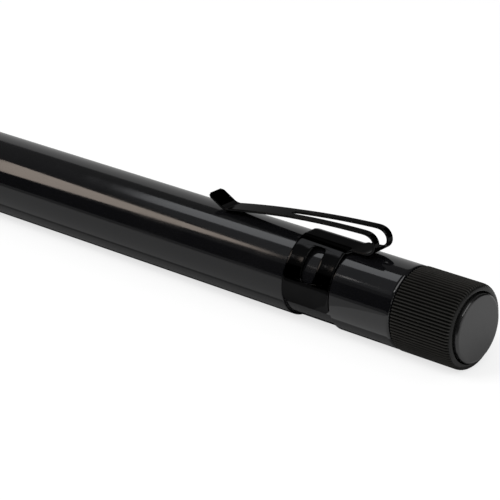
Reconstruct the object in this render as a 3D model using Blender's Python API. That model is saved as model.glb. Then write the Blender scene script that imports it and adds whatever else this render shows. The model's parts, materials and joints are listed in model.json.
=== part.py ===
"""Gooseneck work light.

A slim battery barrel with a pocket clip and a push switch in its screwed tail cap, and a small
lamp head on a flexible ribbed neck. Metres, +Z up, tail towards +X, clip on top. The light lies
on its barrel and steadies itself on the head, with the neck swung aside.
"""
import math

import bmesh
import bpy
import numpy as np
from mathutils import Matrix, Vector

# Gap left between neighbours that seat on each other
CLEAR = 0.0003

# Power cells, two in line
CELL_RADIUS = 0.00705
CELL_LENGTH = 0.0505
CELL_PLAY = 0.00035
CELL_NUB_RADIUS = 0.0027
CELL_NUB_HEIGHT = 0.0012
CELL_SHOULDER = 0.0006

# Barrel tube
BARREL_WALL = 0.00135
BARREL_EDGE = 0.0004
TAIL_LAND_DROP = 0.0002
TAIL_LAND_LENGTH = 0.0148
LAND_ROUND = 0.0008
GROOVE_WIDTH = 0.0119

# Pocket clip, one folded spring strip
CLIP_THICKNESS = 0.0004
CLIP_WIDTH = 0.0058
CLIP_TIP_WIDTH = 0.0044
CLIP_RAIL_WIDTH = 0.00135
CLIP_SIDE_PLAY = 0.0003
CLIP_BAND_PROUD = 0.00005
CLIP_WRAP_DEG = 110.0
CLIP_WINDOW_WIDTH = 0.0035
CLIP_WINDOW_TOP_DEG = 25.0
CLIP_WINDOW_FOOT_DEG = 75.0
CLIP_CORNER = 0.0012
CLIP_LEAF_LENGTH = 0.0042
CLIP_BEND_RADIUS = 0.0024
CLIP_ARM_LENGTH = 0.03715
CLIP_ARM_CROWN = 0.00078
CLIP_SLOT_LENGTH = 0.02025
CLIP_TIP_LENGTH = 0.0045
CLIP_TIP_DEG = 29.0

# Nose and front contact
NOSE_LENGTH = 0.016
NOSE_BAND = 0.0035
NOSE_TIP_LENGTH = 0.003
NOSE_TIP_WALL = 0.0011
NOSE_SPIGOT_LENGTH = 0.006
NOSE_SPIGOT_WALL = 0.0016
INSULATOR_THICKNESS = 0.0025
STUD_RADIUS = 0.0013
STUD_HEAD_RADIUS = 0.003
STUD_HEAD_THICKNESS = 0.0008
STUD_REACH = 0.0015

# Battery spring
BATTERY_SPRING_LENGTH = 0.008
BATTERY_SPRING_RADIUS = 0.0042
BATTERY_SPRING_WIRE = 0.0004
BATTERY_SPRING_TURNS = 5

# Tail insert, seal and switch
INSERT_SPIGOT_LENGTH = 0.008
INSERT_BORE_RADIUS = 0.0056
INSERT_BODY_LENGTH = 0.006
INSERT_LIP = 0.0016
INSERT_PLATE_SET_BACK = 0.0005
SEAL_WIRE = 0.0004
SEAL_SET_BACK = 0.0025
PLATE_THICKNESS = 0.0006
PLUNGER_RADIUS = 0.0016
PLUNGER_DEPTH = 0.0035
SWITCH_WELL = 0.006
SWITCH_EDGE = 0.0005
SWITCH_SPRING_RADIUS = 0.0046
SWITCH_SPRING_WIRE = 0.00025
SWITCH_SPRING_TURNS = 3

# Tail cap and push button
CAP_PROUD = 0.00005
CAP_LENGTH = 0.014
CAP_WALL = 0.0009
CAP_LIP = 0.002
CAP_LEDGE = 0.00053
CAP_RIM_ROUND = 0.0004
KNURL_COUNT = 80
KNURL_DEPTH = 0.00025
KNURL_LENGTH = 0.0132
KNURL_START = 0.0003
BUTTON_PROUD = 0.0009
BUTTON_EDGE = 0.0004
BUTTON_FLANGE = 0.0012
BUTTON_STEM_RADIUS = 0.002
BUTTON_STEM_LENGTH = 0.0021

# Flexible neck
NECK_LINKS = 15
NECK_RIBS_PER_LINK = 5
NECK_RIB_PITCH = 0.00264
NECK_CREST_RADIUS = 0.004
NECK_RIB_DEPTH = 0.0006
NECK_BORE_RADIUS = 0.002
NECK_END_WALL = 0.00085
NECK_JOINT_GAP = 0.0008
NECK_REST_BEND_DEG = 72.0
FERRULE_COLLAR = 0.0005
FERRULE_REACH = 0.004
FERRULE_DEPTH = 0.007
LEAD_RADIUS = 0.0006

# Lamp head
HEAD_RADIUS = 0.0062
HEAD_STEM_LENGTH = 0.0053
HEAD_STEM_DEPTH = 0.006
HEAD_STEM_WALL = 0.0013
HEAD_TAPER = 0.006
HEAD_BODY = 0.006
HEAD_THREAD = 0.007
HEAD_WALL = 0.0009
HEAD_FLOOR = 0.0018
FIN_COUNT = 3
FIN_PITCH = 0.0018
FIN_DEPTH = 0.0007
BEZEL_WALL = 0.0005
BEZEL_LIP = 0.0013
BEZEL_LIP_DEPTH = 0.0018
LENS_THICKNESS = 0.0012
LENS_SEAL_WIRE = 0.0003
BOARD_THICKNESS = 0.0012
LED_RADIUS = 0.0013
LED_BASE = 0.0006
REFLECTOR_WALL = 0.0004

# Facets round a turned piece
BARREL_SIDES = 32
SMALL_SIDES = 20
NECK_SIDES = 12

# Barrel sizes that follow from the cells
BORE = CELL_RADIUS + CELL_PLAY
BARREL_RADIUS = BORE + BARREL_WALL
LAND_RADIUS = BARREL_RADIUS - TAIL_LAND_DROP
GROOVE_RADIUS = BARREL_RADIUS + CLIP_BAND_PROUD - CLIP_THICKNESS - CLEAR
SPIGOT_RADIUS = BORE - CLEAR

# Stations along the barrel, from its front end towards the tail
INSULATOR_X = NOSE_SPIGOT_LENGTH + CLEAR
STUD_HEAD_X = INSULATOR_X + INSULATOR_THICKNESS + CLEAR
FRONT_CELL_X = STUD_HEAD_X + STUD_HEAD_THICKNESS + CLEAR
REAR_CELL_X = FRONT_CELL_X + CELL_LENGTH + CLEAR
BATTERY_SPRING_X = REAR_CELL_X + CELL_LENGTH + CLEAR
PLATE_X = BATTERY_SPRING_X + BATTERY_SPRING_LENGTH + CLEAR
INSERT_X = PLATE_X - INSERT_PLATE_SET_BACK
BARREL_END_X = INSERT_X + INSERT_SPIGOT_LENGTH
GROOVE_END_X = BARREL_END_X - TAIL_LAND_LENGTH
GROOVE_X = GROOVE_END_X - GROOVE_WIDTH

# Tail stations, from the barrel's rear end towards the button
CAP_RADIUS = BARREL_RADIUS + CAP_PROUD
CAP_BORE = CAP_RADIUS - CAP_WALL
CAP_HOLE = CAP_BORE - CAP_LEDGE
CAP_RIM_X = CLEAR + CAP_LENGTH
LIP_X = CAP_RIM_X - CAP_LIP
INSERT_END_X = CLEAR + INSERT_BODY_LENGTH
BUTTON_FACE_X = CAP_RIM_X + BUTTON_PROUD
BUTTON_FLANGE_END_X = LIP_X - CLEAR
BUTTON_BACK_X = BUTTON_FLANGE_END_X - BUTTON_FLANGE
BUTTON_STEM_X = BUTTON_BACK_X - BUTTON_STEM_LENGTH
SWITCH_REAR_X = INSERT_END_X - INSERT_LIP - CLEAR
SWITCH_FRONT_X = PLATE_X + PLATE_THICKNESS + CLEAR - BARREL_END_X

# Neck and head stations, from the barrel's front end and from each hinge towards the lamp
LINK_LENGTH = NECK_RIBS_PER_LINK * NECK_RIB_PITCH
FERRULE_RADIUS = NECK_CREST_RADIUS + FERRULE_COLLAR
NOSE_SOCKET = NECK_CREST_RADIUS + CLEAR
NOSE_TIP_RADIUS = NOSE_SOCKET + NOSE_TIP_WALL
NECK_ROOT_X = -(CLEAR + NOSE_LENGTH + FERRULE_REACH + NECK_JOINT_GAP / 2)
HEAD_STEM_RADIUS = NECK_BORE_RADIUS + HEAD_STEM_WALL
SHELL_U = NECK_JOINT_GAP / 2 + HEAD_STEM_LENGTH + CLEAR
SHELL_SOCKET_U = SHELL_U + HEAD_STEM_DEPTH + CLEAR
CAVITY_U = SHELL_SOCKET_U + HEAD_FLOOR
THREAD_U = SHELL_U + HEAD_TAPER + HEAD_BODY
SHELL_FRONT_U = THREAD_U + HEAD_THREAD
BEZEL_BORE = HEAD_RADIUS - BEZEL_WALL
THREAD_RADIUS = BEZEL_BORE - CLEAR
CAVITY_RADIUS = THREAD_RADIUS - HEAD_WALL
LENS_U = SHELL_FRONT_U + 2 * CLEAR + 2 * LENS_SEAL_WIRE
BEZEL_LIP_U = LENS_U + LENS_THICKNESS + CLEAR
BEZEL_FRONT_U = BEZEL_LIP_U + BEZEL_LIP


def clear_scene():
    """Empties the file, so the model is the only thing in it."""
    for thing in list(bpy.data.objects):
        bpy.data.objects.remove(thing, do_unlink=True)


def material(name, colour, roughness, metallic=0.0):
    """A plain finish for one piece."""
    finish = bpy.data.materials.new(name)
    finish.use_nodes = True
    shader = finish.node_tree.nodes["Principled BSDF"]
    shader.inputs["Base Color"].default_value = (*colour, 1.0)
    shader.inputs["Roughness"].default_value = roughness
    shader.inputs["Metallic"].default_value = metallic
    return finish


def empty(name, parent=None, location=(0, 0, 0), rotation=(0, 0, 0)):
    """A carrier on a joint's axis, or the root of the whole light."""
    carrier = bpy.data.objects.new(name, None)
    carrier.empty_display_size = 0.004
    bpy.context.scene.collection.objects.link(carrier)
    carrier.parent = parent
    carrier.location = location
    carrier.rotation_euler = rotation
    return carrier


def piece(name, data, parent, finish):
    """Puts a mesh or curve into the model as one named piece on its carrier."""
    thing = bpy.data.objects.new(name, data)
    bpy.context.scene.collection.objects.link(thing)
    thing.parent = parent
    data.materials.append(finish)
    if isinstance(data, bpy.types.Mesh):
        data.shade_smooth()
        data.set_sharp_from_angle(angle=math.radians(35))
    return thing


def finish_mesh(name, bm):
    """Closes a bmesh into a mesh whose faces point outwards."""
    bmesh.ops.remove_doubles(bm, verts=bm.verts, dist=1e-7)
    bmesh.ops.recalc_face_normals(bm, faces=bm.faces)
    mesh = bpy.data.meshes.new(name)
    bm.to_mesh(mesh)
    bm.free()
    return mesh


def turned_mesh(name, outline, sides):
    """Spins a closed outline of (x, radius) points round the X axis."""
    bm = bmesh.new()
    verts = [bm.verts.new((x, 0.0, r)) for x, r in outline]
    edges = [bm.edges.new((verts[i - 1], verts[i])) for i in range(len(verts))]
    bmesh.ops.spin(bm, geom=verts + edges, cent=(0, 0, 0), axis=(1, 0, 0), angle=math.tau,
                   steps=sides, use_merge=True, use_duplicate=False)
    return finish_mesh(name, bm)


def turned(name, outline, parent, finish, sides):
    """One lathe-turned piece."""
    return piece(name, turned_mesh(name, outline, sides), parent, finish)


def arc(x, r, radius, start_deg, end_deg, steps):
    """Points of a round in an outline; 0 degrees points along +X and 90 outwards."""
    turns = np.radians(np.linspace(start_deg, end_deg, steps + 1))
    return [(x + radius * math.cos(a), r + radius * math.sin(a)) for a in turns]


def ring_wire(x, radius, wire, steps):
    """Outline of a round seal ring."""
    return arc(x, radius, wire, 0, 360, steps)[:-1]


def boolean(target, tool, operation):
    """Joins or cuts two closed pieces and keeps the result in the first."""
    step = target.modifiers.new(operation.lower(), "BOOLEAN")
    step.operation = operation
    step.object = tool
    bpy.context.view_layer.update()
    evaluated = target.evaluated_get(bpy.context.evaluated_depsgraph_get())
    result = bpy.data.meshes.new_from_object(evaluated)
    target.modifiers.clear()
    target.data = result
    bpy.data.objects.remove(tool, do_unlink=True)
    result.shade_smooth()
    result.set_sharp_from_angle(angle=math.radians(35))


def coil(name, start_x, length, radius, wire, turns, parent, finish):
    """A compression spring along X, as one unbroken wire; prints the gap between its turns."""
    reach = length - 2 * wire
    count = turns * 9
    t = np.linspace(0.0, 1.0, count + 1)
    angle = math.tau * turns * t
    points = np.stack([start_x + wire + reach * t, radius * np.cos(angle), radius * np.sin(angle)], 1)
    away = np.abs(np.subtract.outer(np.arange(count + 1), np.arange(count + 1))) > 4
    spacing = np.linalg.norm(points[:, None] - points[None], axis=2)
    print(name, "least gap between turns, mm:", round(1000 * float(spacing[away].min() - 2 * wire), 2))
    return tube(name, points, wire, parent, finish)


def tube(name, points, radius, parent, finish):
    """A round wire along the given points, with closed ends."""
    curve = bpy.data.curves.new(name, "CURVE")
    curve.dimensions = "3D"
    curve.bevel_depth = radius
    curve.bevel_resolution = 1
    curve.use_fill_caps = True
    spline = curve.splines.new("POLY")
    spline.points.add(len(points) - 1)
    for knot, place in zip(spline.points, points):
        knot.co = (*place, 1.0)
    return piece(name, curve, parent, finish)


def sheet_solid(name, grid, kept, thickness, parent, finish):
    """A strip of sheet metal: a grid of mid-surface points, some cells left out, thickened evenly."""
    rows, columns = grid.shape[:2]
    bm = bmesh.new()
    verts = [[bm.verts.new(grid[i, j]) for j in range(columns)] for i in range(rows)]
    for i in range(rows - 1):
        for j in range(columns - 1):
            if kept[i, j]:
                bm.faces.new((verts[i][j], verts[i + 1][j], verts[i + 1][j + 1], verts[i][j + 1]))
    bmesh.ops.delete(bm, geom=[v for v in bm.verts if not v.link_faces], context="VERTS")
    strip = piece(name, finish_mesh(name, bm), parent, finish)
    wall = strip.modifiers.new("thickness", "SOLIDIFY")
    wall.thickness = thickness
    wall.offset = 0.0
    wall.use_even_offset = True
    return strip


def build_barrel(root):
    """Barrel tube with the clip's groove and a plain land at the tail."""
    outline = [
        (0.0, BORE),
        (0.0, BARREL_RADIUS - BARREL_EDGE),
        (BARREL_EDGE, BARREL_RADIUS),
        (GROOVE_X - BARREL_EDGE, BARREL_RADIUS),
        (GROOVE_X, BARREL_RADIUS - BARREL_EDGE),
        (GROOVE_X, GROOVE_RADIUS),
        (GROOVE_END_X, GROOVE_RADIUS),
    ]
    round_size = min(LAND_ROUND, LAND_RADIUS - GROOVE_RADIUS)
    outline += arc(GROOVE_END_X + round_size, LAND_RADIUS - round_size, round_size, 180, 90, 3)
    outline += [
        (BARREL_END_X - BARREL_EDGE, LAND_RADIUS),
        (BARREL_END_X, LAND_RADIUS - BARREL_EDGE),
        (BARREL_END_X, BORE),
    ]
    gloss = material("barrel_gloss_black", (0.012, 0.012, 0.013), 0.16)
    turned("barrel_tube", outline, root, gloss, BARREL_SIDES)


def build_nose(root):
    """Tapered nose pressed into the barrel, and the insulated front contact behind it."""
    tip_x = -CLEAR - NOSE_LENGTH
    socket_x = tip_x + FERRULE_DEPTH + CLEAR
    outline = [
        (NOSE_SPIGOT_LENGTH, SPIGOT_RADIUS),
        (-CLEAR, SPIGOT_RADIUS),
        (-CLEAR, BARREL_RADIUS - BARREL_EDGE),
        (-CLEAR - BARREL_EDGE, BARREL_RADIUS),
        (-CLEAR - NOSE_BAND, BARREL_RADIUS),
    ]
    taper_start = Vector((-CLEAR - NOSE_BAND, BARREL_RADIUS))
    taper_end = Vector((tip_x + NOSE_TIP_LENGTH, NOSE_TIP_RADIUS))
    for t in np.linspace(0.2, 1.0, 5):
        ease = t * t * (3 - 2 * t)
        outline.append((taper_start.x + t * (taper_end.x - taper_start.x),
                        taper_start.y + ease * (taper_end.y - taper_start.y)))
    outline += [
        (tip_x + BARREL_EDGE, NOSE_TIP_RADIUS),
        (tip_x, NOSE_TIP_RADIUS - BARREL_EDGE),
        (tip_x, NOSE_SOCKET),
        (socket_x, NOSE_SOCKET),
        (socket_x, NECK_BORE_RADIUS),
        (-CLEAR, NECK_BORE_RADIUS),
        (-CLEAR, SPIGOT_RADIUS - NOSE_SPIGOT_WALL),
        (NOSE_SPIGOT_LENGTH, SPIGOT_RADIUS - NOSE_SPIGOT_WALL),
    ]
    gloss = material("nose_gloss_black", (0.012, 0.012, 0.013), 0.2)
    turned("nose_cone", outline, root, gloss, BARREL_SIDES)

    ferrule_end = socket_x - CLEAR
    ferrule = [
        (ferrule_end, NECK_CREST_RADIUS),
        (tip_x - CLEAR, NECK_CREST_RADIUS),
        (tip_x - CLEAR, FERRULE_RADIUS),
        (tip_x + BARREL_EDGE - FERRULE_REACH, FERRULE_RADIUS),
        (tip_x - FERRULE_REACH, FERRULE_RADIUS - BARREL_EDGE),
        (tip_x - FERRULE_REACH, NECK_BORE_RADIUS),
        (ferrule_end, NECK_BORE_RADIUS),
    ]
    steel = material("ferrule_steel", (0.35, 0.35, 0.36), 0.3, 1.0)
    turned("neck_ferrule", ferrule, root, steel, SMALL_SIDES)

    hole = STUD_RADIUS + CLEAR
    insulator_end = INSULATOR_X + INSULATOR_THICKNESS
    insulator = [(INSULATOR_X, hole), (INSULATOR_X, SPIGOT_RADIUS), (insulator_end, SPIGOT_RADIUS),
                 (insulator_end, hole)]
    ivory = material("insulator_plastic", (0.75, 0.73, 0.68), 0.5)
    turned("front_insulator", insulator, root, ivory, SMALL_SIDES)

    stud = [
        (INSULATOR_X - STUD_REACH, 0.0),
        (INSULATOR_X - STUD_REACH, STUD_RADIUS),
        (STUD_HEAD_X, STUD_RADIUS),
        (STUD_HEAD_X, STUD_HEAD_RADIUS),
        (STUD_HEAD_X + STUD_HEAD_THICKNESS, STUD_HEAD_RADIUS),
        (STUD_HEAD_X + STUD_HEAD_THICKNESS, 0.0),
    ]
    turned("front_contact", stud, root, material("contact_brass", (0.72, 0.5, 0.2), 0.3, 1.0), SMALL_SIDES)


def build_cells(root):
    """Two round cells in line, their raised positive ends towards the lamp."""
    for name, start in (("battery_front", FRONT_CELL_X), ("battery_rear", REAR_CELL_X)):
        can = start + CELL_NUB_HEIGHT
        end = start + CELL_LENGTH
        outline = [
            (start, 0.0),
            (start, CELL_NUB_RADIUS),
            (can, CELL_NUB_RADIUS),
            (can, CELL_RADIUS - CELL_SHOULDER),
            (can + CELL_SHOULDER, CELL_RADIUS),
            (end - CELL_SHOULDER, CELL_RADIUS),
            (end, CELL_RADIUS - CELL_SHOULDER),
            (end, 0.0),
        ]
        turned(name, outline, root, material(name + "_sleeve", (0.16, 0.17, 0.19), 0.35, 0.4), SMALL_SIDES)


def build_clip(root):
    """Clip: a split band with a flat strip over the groove and land, and the folded spring arm above."""
    inner = GROOVE_RADIUS + CLEAR
    middle = inner + CLIP_THICKNESS / 2
    band_x = GROOVE_X + CLIP_SIDE_PLAY
    band_end = GROOVE_END_X - CLIP_SIDE_PLAY
    leaf_height = LAND_RADIUS + CLEAR + CLIP_THICKNESS / 2
    leaf_end = band_end + CLIP_LEAF_LENGTH
    pivot_x = (GROOVE_X + GROOVE_END_X) / 2
    pivot = empty("clip_pivot", root, (pivot_x, 0, 0))
    black = material("clip_black_steel", (0.01, 0.01, 0.011), 0.22, 0.6)

    half_leaf = math.degrees(math.asin(CLIP_WIDTH / 2 / middle))
    corner_deg = math.degrees(CLIP_CORNER / middle)
    side = [CLIP_WRAP_DEG, CLIP_WRAP_DEG - corner_deg]
    side += list(np.linspace(CLIP_WINDOW_FOOT_DEG, CLIP_WINDOW_TOP_DEG, 5))
    side += [half_leaf, 0.0]
    turns = np.radians(np.array([-a for a in side[:-1]] + side[::-1]))
    window_edge = CLIP_WINDOW_WIDTH / 2
    centre = (band_x + band_end) / 2
    stations = [band_x, centre - window_edge, centre + window_edge, band_end]
    stations += list(np.linspace(band_end, leaf_end, 4)[1:])
    grid = np.zeros((len(turns), len(stations), 3))
    for i, turn in enumerate(turns):
        for j, x in enumerate(stations):
            raised = abs(turn) < math.radians(half_leaf) + 1e-6
            height = leaf_height if raised else middle * math.cos(turn)
            grid[i, j] = (x - pivot_x, middle * math.sin(turn), height)
    for end in (0, -1):
        grid[end, 0, 0] += CLIP_CORNER
        grid[end, 3, 0] -= CLIP_CORNER
    mid_turn = np.degrees(np.abs(turns[:-1] + turns[1:]) / 2)
    kept = np.ones((len(turns) - 1, len(stations) - 1), bool)
    kept[:, 3:] = (mid_turn < half_leaf)[:, None]
    kept[(mid_turn > CLIP_WINDOW_TOP_DEG) & (mid_turn < CLIP_WINDOW_FOOT_DEG), 1] = False
    sheet_solid("clip_band", grid, kept, CLIP_THICKNESS, pivot, black)

    hinge = empty("clip_hinge", pivot, (leaf_end + CLEAR - pivot_x, 0, leaf_height))
    fold_height = BARREL_RADIUS + CLEAR + CLIP_THICKNESS / 2 - leaf_height
    bend = np.radians(np.linspace(-90, 90, 9))
    path = [(CLIP_BEND_RADIUS * math.cos(a), CLIP_BEND_RADIUS * (1 + math.sin(a))) for a in bend]
    top = 2 * CLIP_BEND_RADIUS
    slot_end = CLIP_SLOT_LENGTH / CLIP_ARM_LENGTH
    for t in (slot_end / 3, slot_end * 2 / 3, slot_end, (1 + slot_end) / 2, 1.0):
        rise = top + t * (fold_height - top) + 4 * CLIP_ARM_CROWN * t * (1 - t)
        path.append((-CLIP_ARM_LENGTH * t, rise))
    fold = path[-1]
    tip = math.radians(CLIP_TIP_DEG)
    for reach in (CLIP_TIP_LENGTH - CLIP_CORNER, CLIP_TIP_LENGTH):
        path.append((fold[0] - reach * math.cos(tip), fold[1] + reach * math.sin(tip)))
    grid = np.zeros((len(path), 4, 3))
    for i, (x, height) in enumerate(path):
        taper = min(max(-x / CLIP_SLOT_LENGTH, 0.0), 1.0)
        half = (CLIP_WIDTH + taper * (CLIP_TIP_WIDTH - CLIP_WIDTH)) / 2
        slot = half - CLIP_RAIL_WIDTH
        grid[i] = [(x, y, height) for y in (-half, -slot, slot, half)]
    grid[-1, 0, 1] += CLIP_CORNER / 2
    grid[-1, 3, 1] -= CLIP_CORNER / 2
    kept = np.ones((len(path) - 1, 3), bool)
    kept[3:len(bend) + 2, 1] = False
    sheet_solid("clip_arm", grid, kept, CLIP_THICKNESS, hinge, black)


def build_tail(root):
    """Screwed tail: spring, insert with the switch inside, knurled cap and push button."""
    brass = material("switch_brass", (0.72, 0.5, 0.2), 0.3, 1.0)
    steel = material("spring_steel", (0.5, 0.5, 0.5), 0.3, 1.0)
    travel = empty("cap_travel", root, (BARREL_END_X, 0, 0))
    coil("battery_spring", BATTERY_SPRING_X - BARREL_END_X, BATTERY_SPRING_LENGTH, BATTERY_SPRING_RADIUS,
         BATTERY_SPRING_WIRE, BATTERY_SPRING_TURNS, travel, steel)
    turn = empty("cap_turn", travel)

    front_x = INSERT_X - BARREL_END_X
    seal_x = -SEAL_SET_BACK
    seal_half = SEAL_WIRE + CLEAR
    seal_floor = SPIGOT_RADIUS - 2 * SEAL_WIRE
    body_radius = CAP_BORE - CLEAR
    lip_hole = PLUNGER_RADIUS + CLEAR
    insert = [
        (front_x, INSERT_BORE_RADIUS),
        (front_x, SPIGOT_RADIUS - BARREL_EDGE),
        (front_x + BARREL_EDGE, SPIGOT_RADIUS),
        (seal_x - seal_half, SPIGOT_RADIUS),
        (seal_x - seal_half, seal_floor - CLEAR),
        (seal_x + seal_half, seal_floor - CLEAR),
        (seal_x + seal_half, SPIGOT_RADIUS),
        (CLEAR, SPIGOT_RADIUS),
        (CLEAR, body_radius),
        (INSERT_END_X, body_radius),
        (INSERT_END_X, lip_hole),
        (INSERT_END_X - INSERT_LIP, lip_hole),
        (INSERT_END_X - INSERT_LIP, INSERT_BORE_RADIUS),
    ]
    aluminium = material("insert_aluminium", (0.6, 0.61, 0.62), 0.35, 1.0)
    turned("tail_insert", insert, turn, aluminium, BARREL_SIDES)
    seal = ring_wire(seal_x, SPIGOT_RADIUS - SEAL_WIRE, SEAL_WIRE, 6)
    turned("tail_o_ring", seal, turn, material("seal_rubber", (0.01, 0.01, 0.01), 0.7), SMALL_SIDES)

    switch_radius = INSERT_BORE_RADIUS - CLEAR
    plate_x = PLATE_X - BARREL_END_X
    plate = [(plate_x, 0.0), (plate_x, switch_radius), (plate_x + PLATE_THICKNESS, switch_radius),
             (plate_x + PLATE_THICKNESS, 0.0)]
    turned("switch_contact", plate, turn, brass, SMALL_SIDES)
    switch = [
        (SWITCH_FRONT_X, 0.0),
        (SWITCH_FRONT_X, switch_radius - SWITCH_EDGE),
        (SWITCH_FRONT_X + SWITCH_EDGE, switch_radius),
        (SWITCH_REAR_X, switch_radius),
        (SWITCH_REAR_X, lip_hole),
        (SWITCH_REAR_X - SWITCH_WELL, lip_hole),
        (SWITCH_REAR_X - SWITCH_WELL, 0.0),
    ]
    turned("switch_body", switch, turn, material("switch_nylon", (0.05, 0.05, 0.055), 0.5), SMALL_SIDES)

    build_cap(turn)
    build_button(turn, steel, brass)


def build_cap(turn):
    """Knurled cap sleeve, open at both ends, with an inward lip that keeps the button in."""
    root_radius = CAP_RADIUS - KNURL_DEPTH
    knurl_x = CLEAR + KNURL_START
    knurl_end = knurl_x + KNURL_LENGTH
    shell = [
        (CLEAR, CAP_BORE),
        (CLEAR, root_radius - BARREL_EDGE),
        (CLEAR + BARREL_EDGE, root_radius),
        (knurl_end, root_radius),
        (knurl_end, CAP_RADIUS),
    ]
    shell += arc(CAP_RIM_X - CAP_RIM_ROUND, CAP_RADIUS - CAP_RIM_ROUND, CAP_RIM_ROUND, 90, 0, 3)
    shell += [(CAP_RIM_X, CAP_HOLE), (LIP_X, CAP_HOLE), (LIP_X, CAP_BORE)]
    grip = material("cap_matt_black", (0.018, 0.018, 0.018), 0.55)
    cap = turned("tail_cap", shell, turn, grip, BARREL_SIDES)

    bm = bmesh.new()
    sunk = (CAP_BORE + root_radius) / 2
    step = math.tau / (2 * KNURL_COUNT)
    rings = []
    for x in (knurl_x, knurl_end - CLEAR):
        crest = [bm.verts.new((x, (CAP_RADIUS if i % 2 else root_radius) * math.cos(i * step),
                               (CAP_RADIUS if i % 2 else root_radius) * math.sin(i * step)))
                 for i in range(2 * KNURL_COUNT)]
        foot = [bm.verts.new((x, sunk * math.cos(i * step), sunk * math.sin(i * step)))
                for i in range(2 * KNURL_COUNT)]
        rings += [crest, foot]
    for a, b in ((0, 2), (2, 3), (3, 1), (1, 0)):
        for i in range(2 * KNURL_COUNT):
            bm.faces.new((rings[a][i - 1], rings[a][i], rings[b][i], rings[b][i - 1]))
    knurl = piece("knurl_tool", finish_mesh("knurl_tool", bm), turn, grip)
    boolean(cap, knurl, "UNION")


def build_button(turn, steel, brass):
    """Push button with its retaining flange and stem, its return spring and the switch plunger."""
    guide = empty("button_guide", turn)
    radius = CAP_HOLE - CLEAR
    button = [(BUTTON_FACE_X, 0.0)]
    button += arc(BUTTON_FACE_X - BUTTON_EDGE, radius - BUTTON_EDGE, BUTTON_EDGE, 0, 90, 3)
    button += [
        (BUTTON_FLANGE_END_X, radius),
        (BUTTON_FLANGE_END_X, CAP_BORE - CLEAR),
        (BUTTON_BACK_X, CAP_BORE - CLEAR),
        (BUTTON_BACK_X, BUTTON_STEM_RADIUS),
        (BUTTON_STEM_X, BUTTON_STEM_RADIUS),
        (BUTTON_STEM_X, 0.0),
    ]
    satin = material("button_satin_grey", (0.05, 0.05, 0.052), 0.35)
    turned("push_button", button, guide, satin, BARREL_SIDES)
    plunger_end = BUTTON_STEM_X - CLEAR
    plunger_x = SWITCH_REAR_X - PLUNGER_DEPTH
    plunger = [(plunger_x, 0.0), (plunger_x, PLUNGER_RADIUS), (plunger_end, PLUNGER_RADIUS),
               (plunger_end, 0.0)]
    turned("switch_plunger", plunger, guide, brass, SMALL_SIDES)
    spring_x = INSERT_END_X + CLEAR
    coil("switch_spring", spring_x, BUTTON_BACK_X - CLEAR - spring_x, SWITCH_SPRING_RADIUS,
         SWITCH_SPRING_WIRE, SWITCH_SPRING_TURNS, turn, steel)


def neck_rest_turn(index):
    """Rest angle of a neck hinge; even hinges swing sideways and hold the bend, odd ones nod."""
    sideways = (NECK_LINKS + 2) // 2
    return math.radians(NECK_REST_BEND_DEG) / sideways if index % 2 == 0 else 0.0


def neck_frames(tilt):
    """Frame of every hinge along the bent neck, in the barrel's own frame."""
    frame = Matrix.Translation((NECK_ROOT_X, 0, 0)) @ Matrix.Rotation(tilt, 4, "X")
    frames = []
    for index in range(NECK_LINKS + 1):
        frame = frame @ Matrix.Rotation(neck_rest_turn(index), 4, "Z")
        frames.append(frame)
        frame = frame @ Matrix.Translation((-LINK_LENGTH, 0, 0))
    return frames


def neck_tilt():
    """Lean of the bend's plane that lets the head just reach the surface under the barrel."""
    front = neck_frames(0.0)[-1] @ Vector((-BEZEL_FRONT_U, 0, 0))
    return math.asin((CAP_RADIUS - HEAD_RADIUS) / -front.y)


def build_neck(root):
    """Ribbed neck as a chain of links, each on the hinge behind it; returns the last hinge."""
    tilt = neck_tilt()
    hinge = empty("neck_root", root, (NECK_ROOT_X, 0, 0), (tilt, 0, 0))
    satin = material("neck_satin_black", (0.02, 0.02, 0.021), 0.4, 0.5)
    floor = NECK_CREST_RADIUS - NECK_RIB_DEPTH
    end_radius = NECK_BORE_RADIUS + NECK_END_WALL
    half_gap = NECK_JOINT_GAP / 2
    outline = [(-half_gap, NECK_BORE_RADIUS), (-half_gap, end_radius)]
    for rib in range(NECK_RIBS_PER_LINK):
        outline.append((-(rib + 0.5) * NECK_RIB_PITCH, NECK_CREST_RADIUS))
        outline.append((-(rib + 1.0) * NECK_RIB_PITCH, floor))
    outline[-1] = (-(LINK_LENGTH - half_gap), end_radius)
    outline.append((-(LINK_LENGTH - half_gap), NECK_BORE_RADIUS))
    for index in range(NECK_LINKS + 1):
        place = (0, 0, 0) if index == 0 else (-LINK_LENGTH, 0, 0)
        hinge = empty(f"neck_hinge_{index + 1:02d}", hinge, place, (0, 0, neck_rest_turn(index)))
        if index < NECK_LINKS:
            turned(f"neck_link_{index + 1:02d}", outline, hinge, satin, NECK_SIDES)
    build_lead(root, neck_frames(tilt))
    return hinge


def build_lead(root, frames):
    """Insulated lead from the front contact through the neck to the lamp's board."""
    start = INSULATOR_X - STUD_REACH - CLEAR
    straight = (start, start / 2, 0.0, NECK_ROOT_X / 2, NECK_ROOT_X + LINK_LENGTH / 2)
    points = [Vector((x, 0, 0)) for x in straight]
    for index, frame in enumerate(frames):
        before = frames[index - 1] @ Vector((-LINK_LENGTH / 2, 0, 0)) if index else points[-1]
        after = frame @ Vector((-LINK_LENGTH / 2, 0, 0))
        for t in (1 / 3, 2 / 3, 1.0):
            points.append((1 - t) ** 2 * before + 2 * t * (1 - t) * frame.translation + t * t * after)
    points.append(frames[-1] @ Vector((-CAVITY_U, 0, 0)))
    tube("neck_lead", points, LEAD_RADIUS, root, material("lead_red", (0.4, 0.02, 0.02), 0.45))


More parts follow.
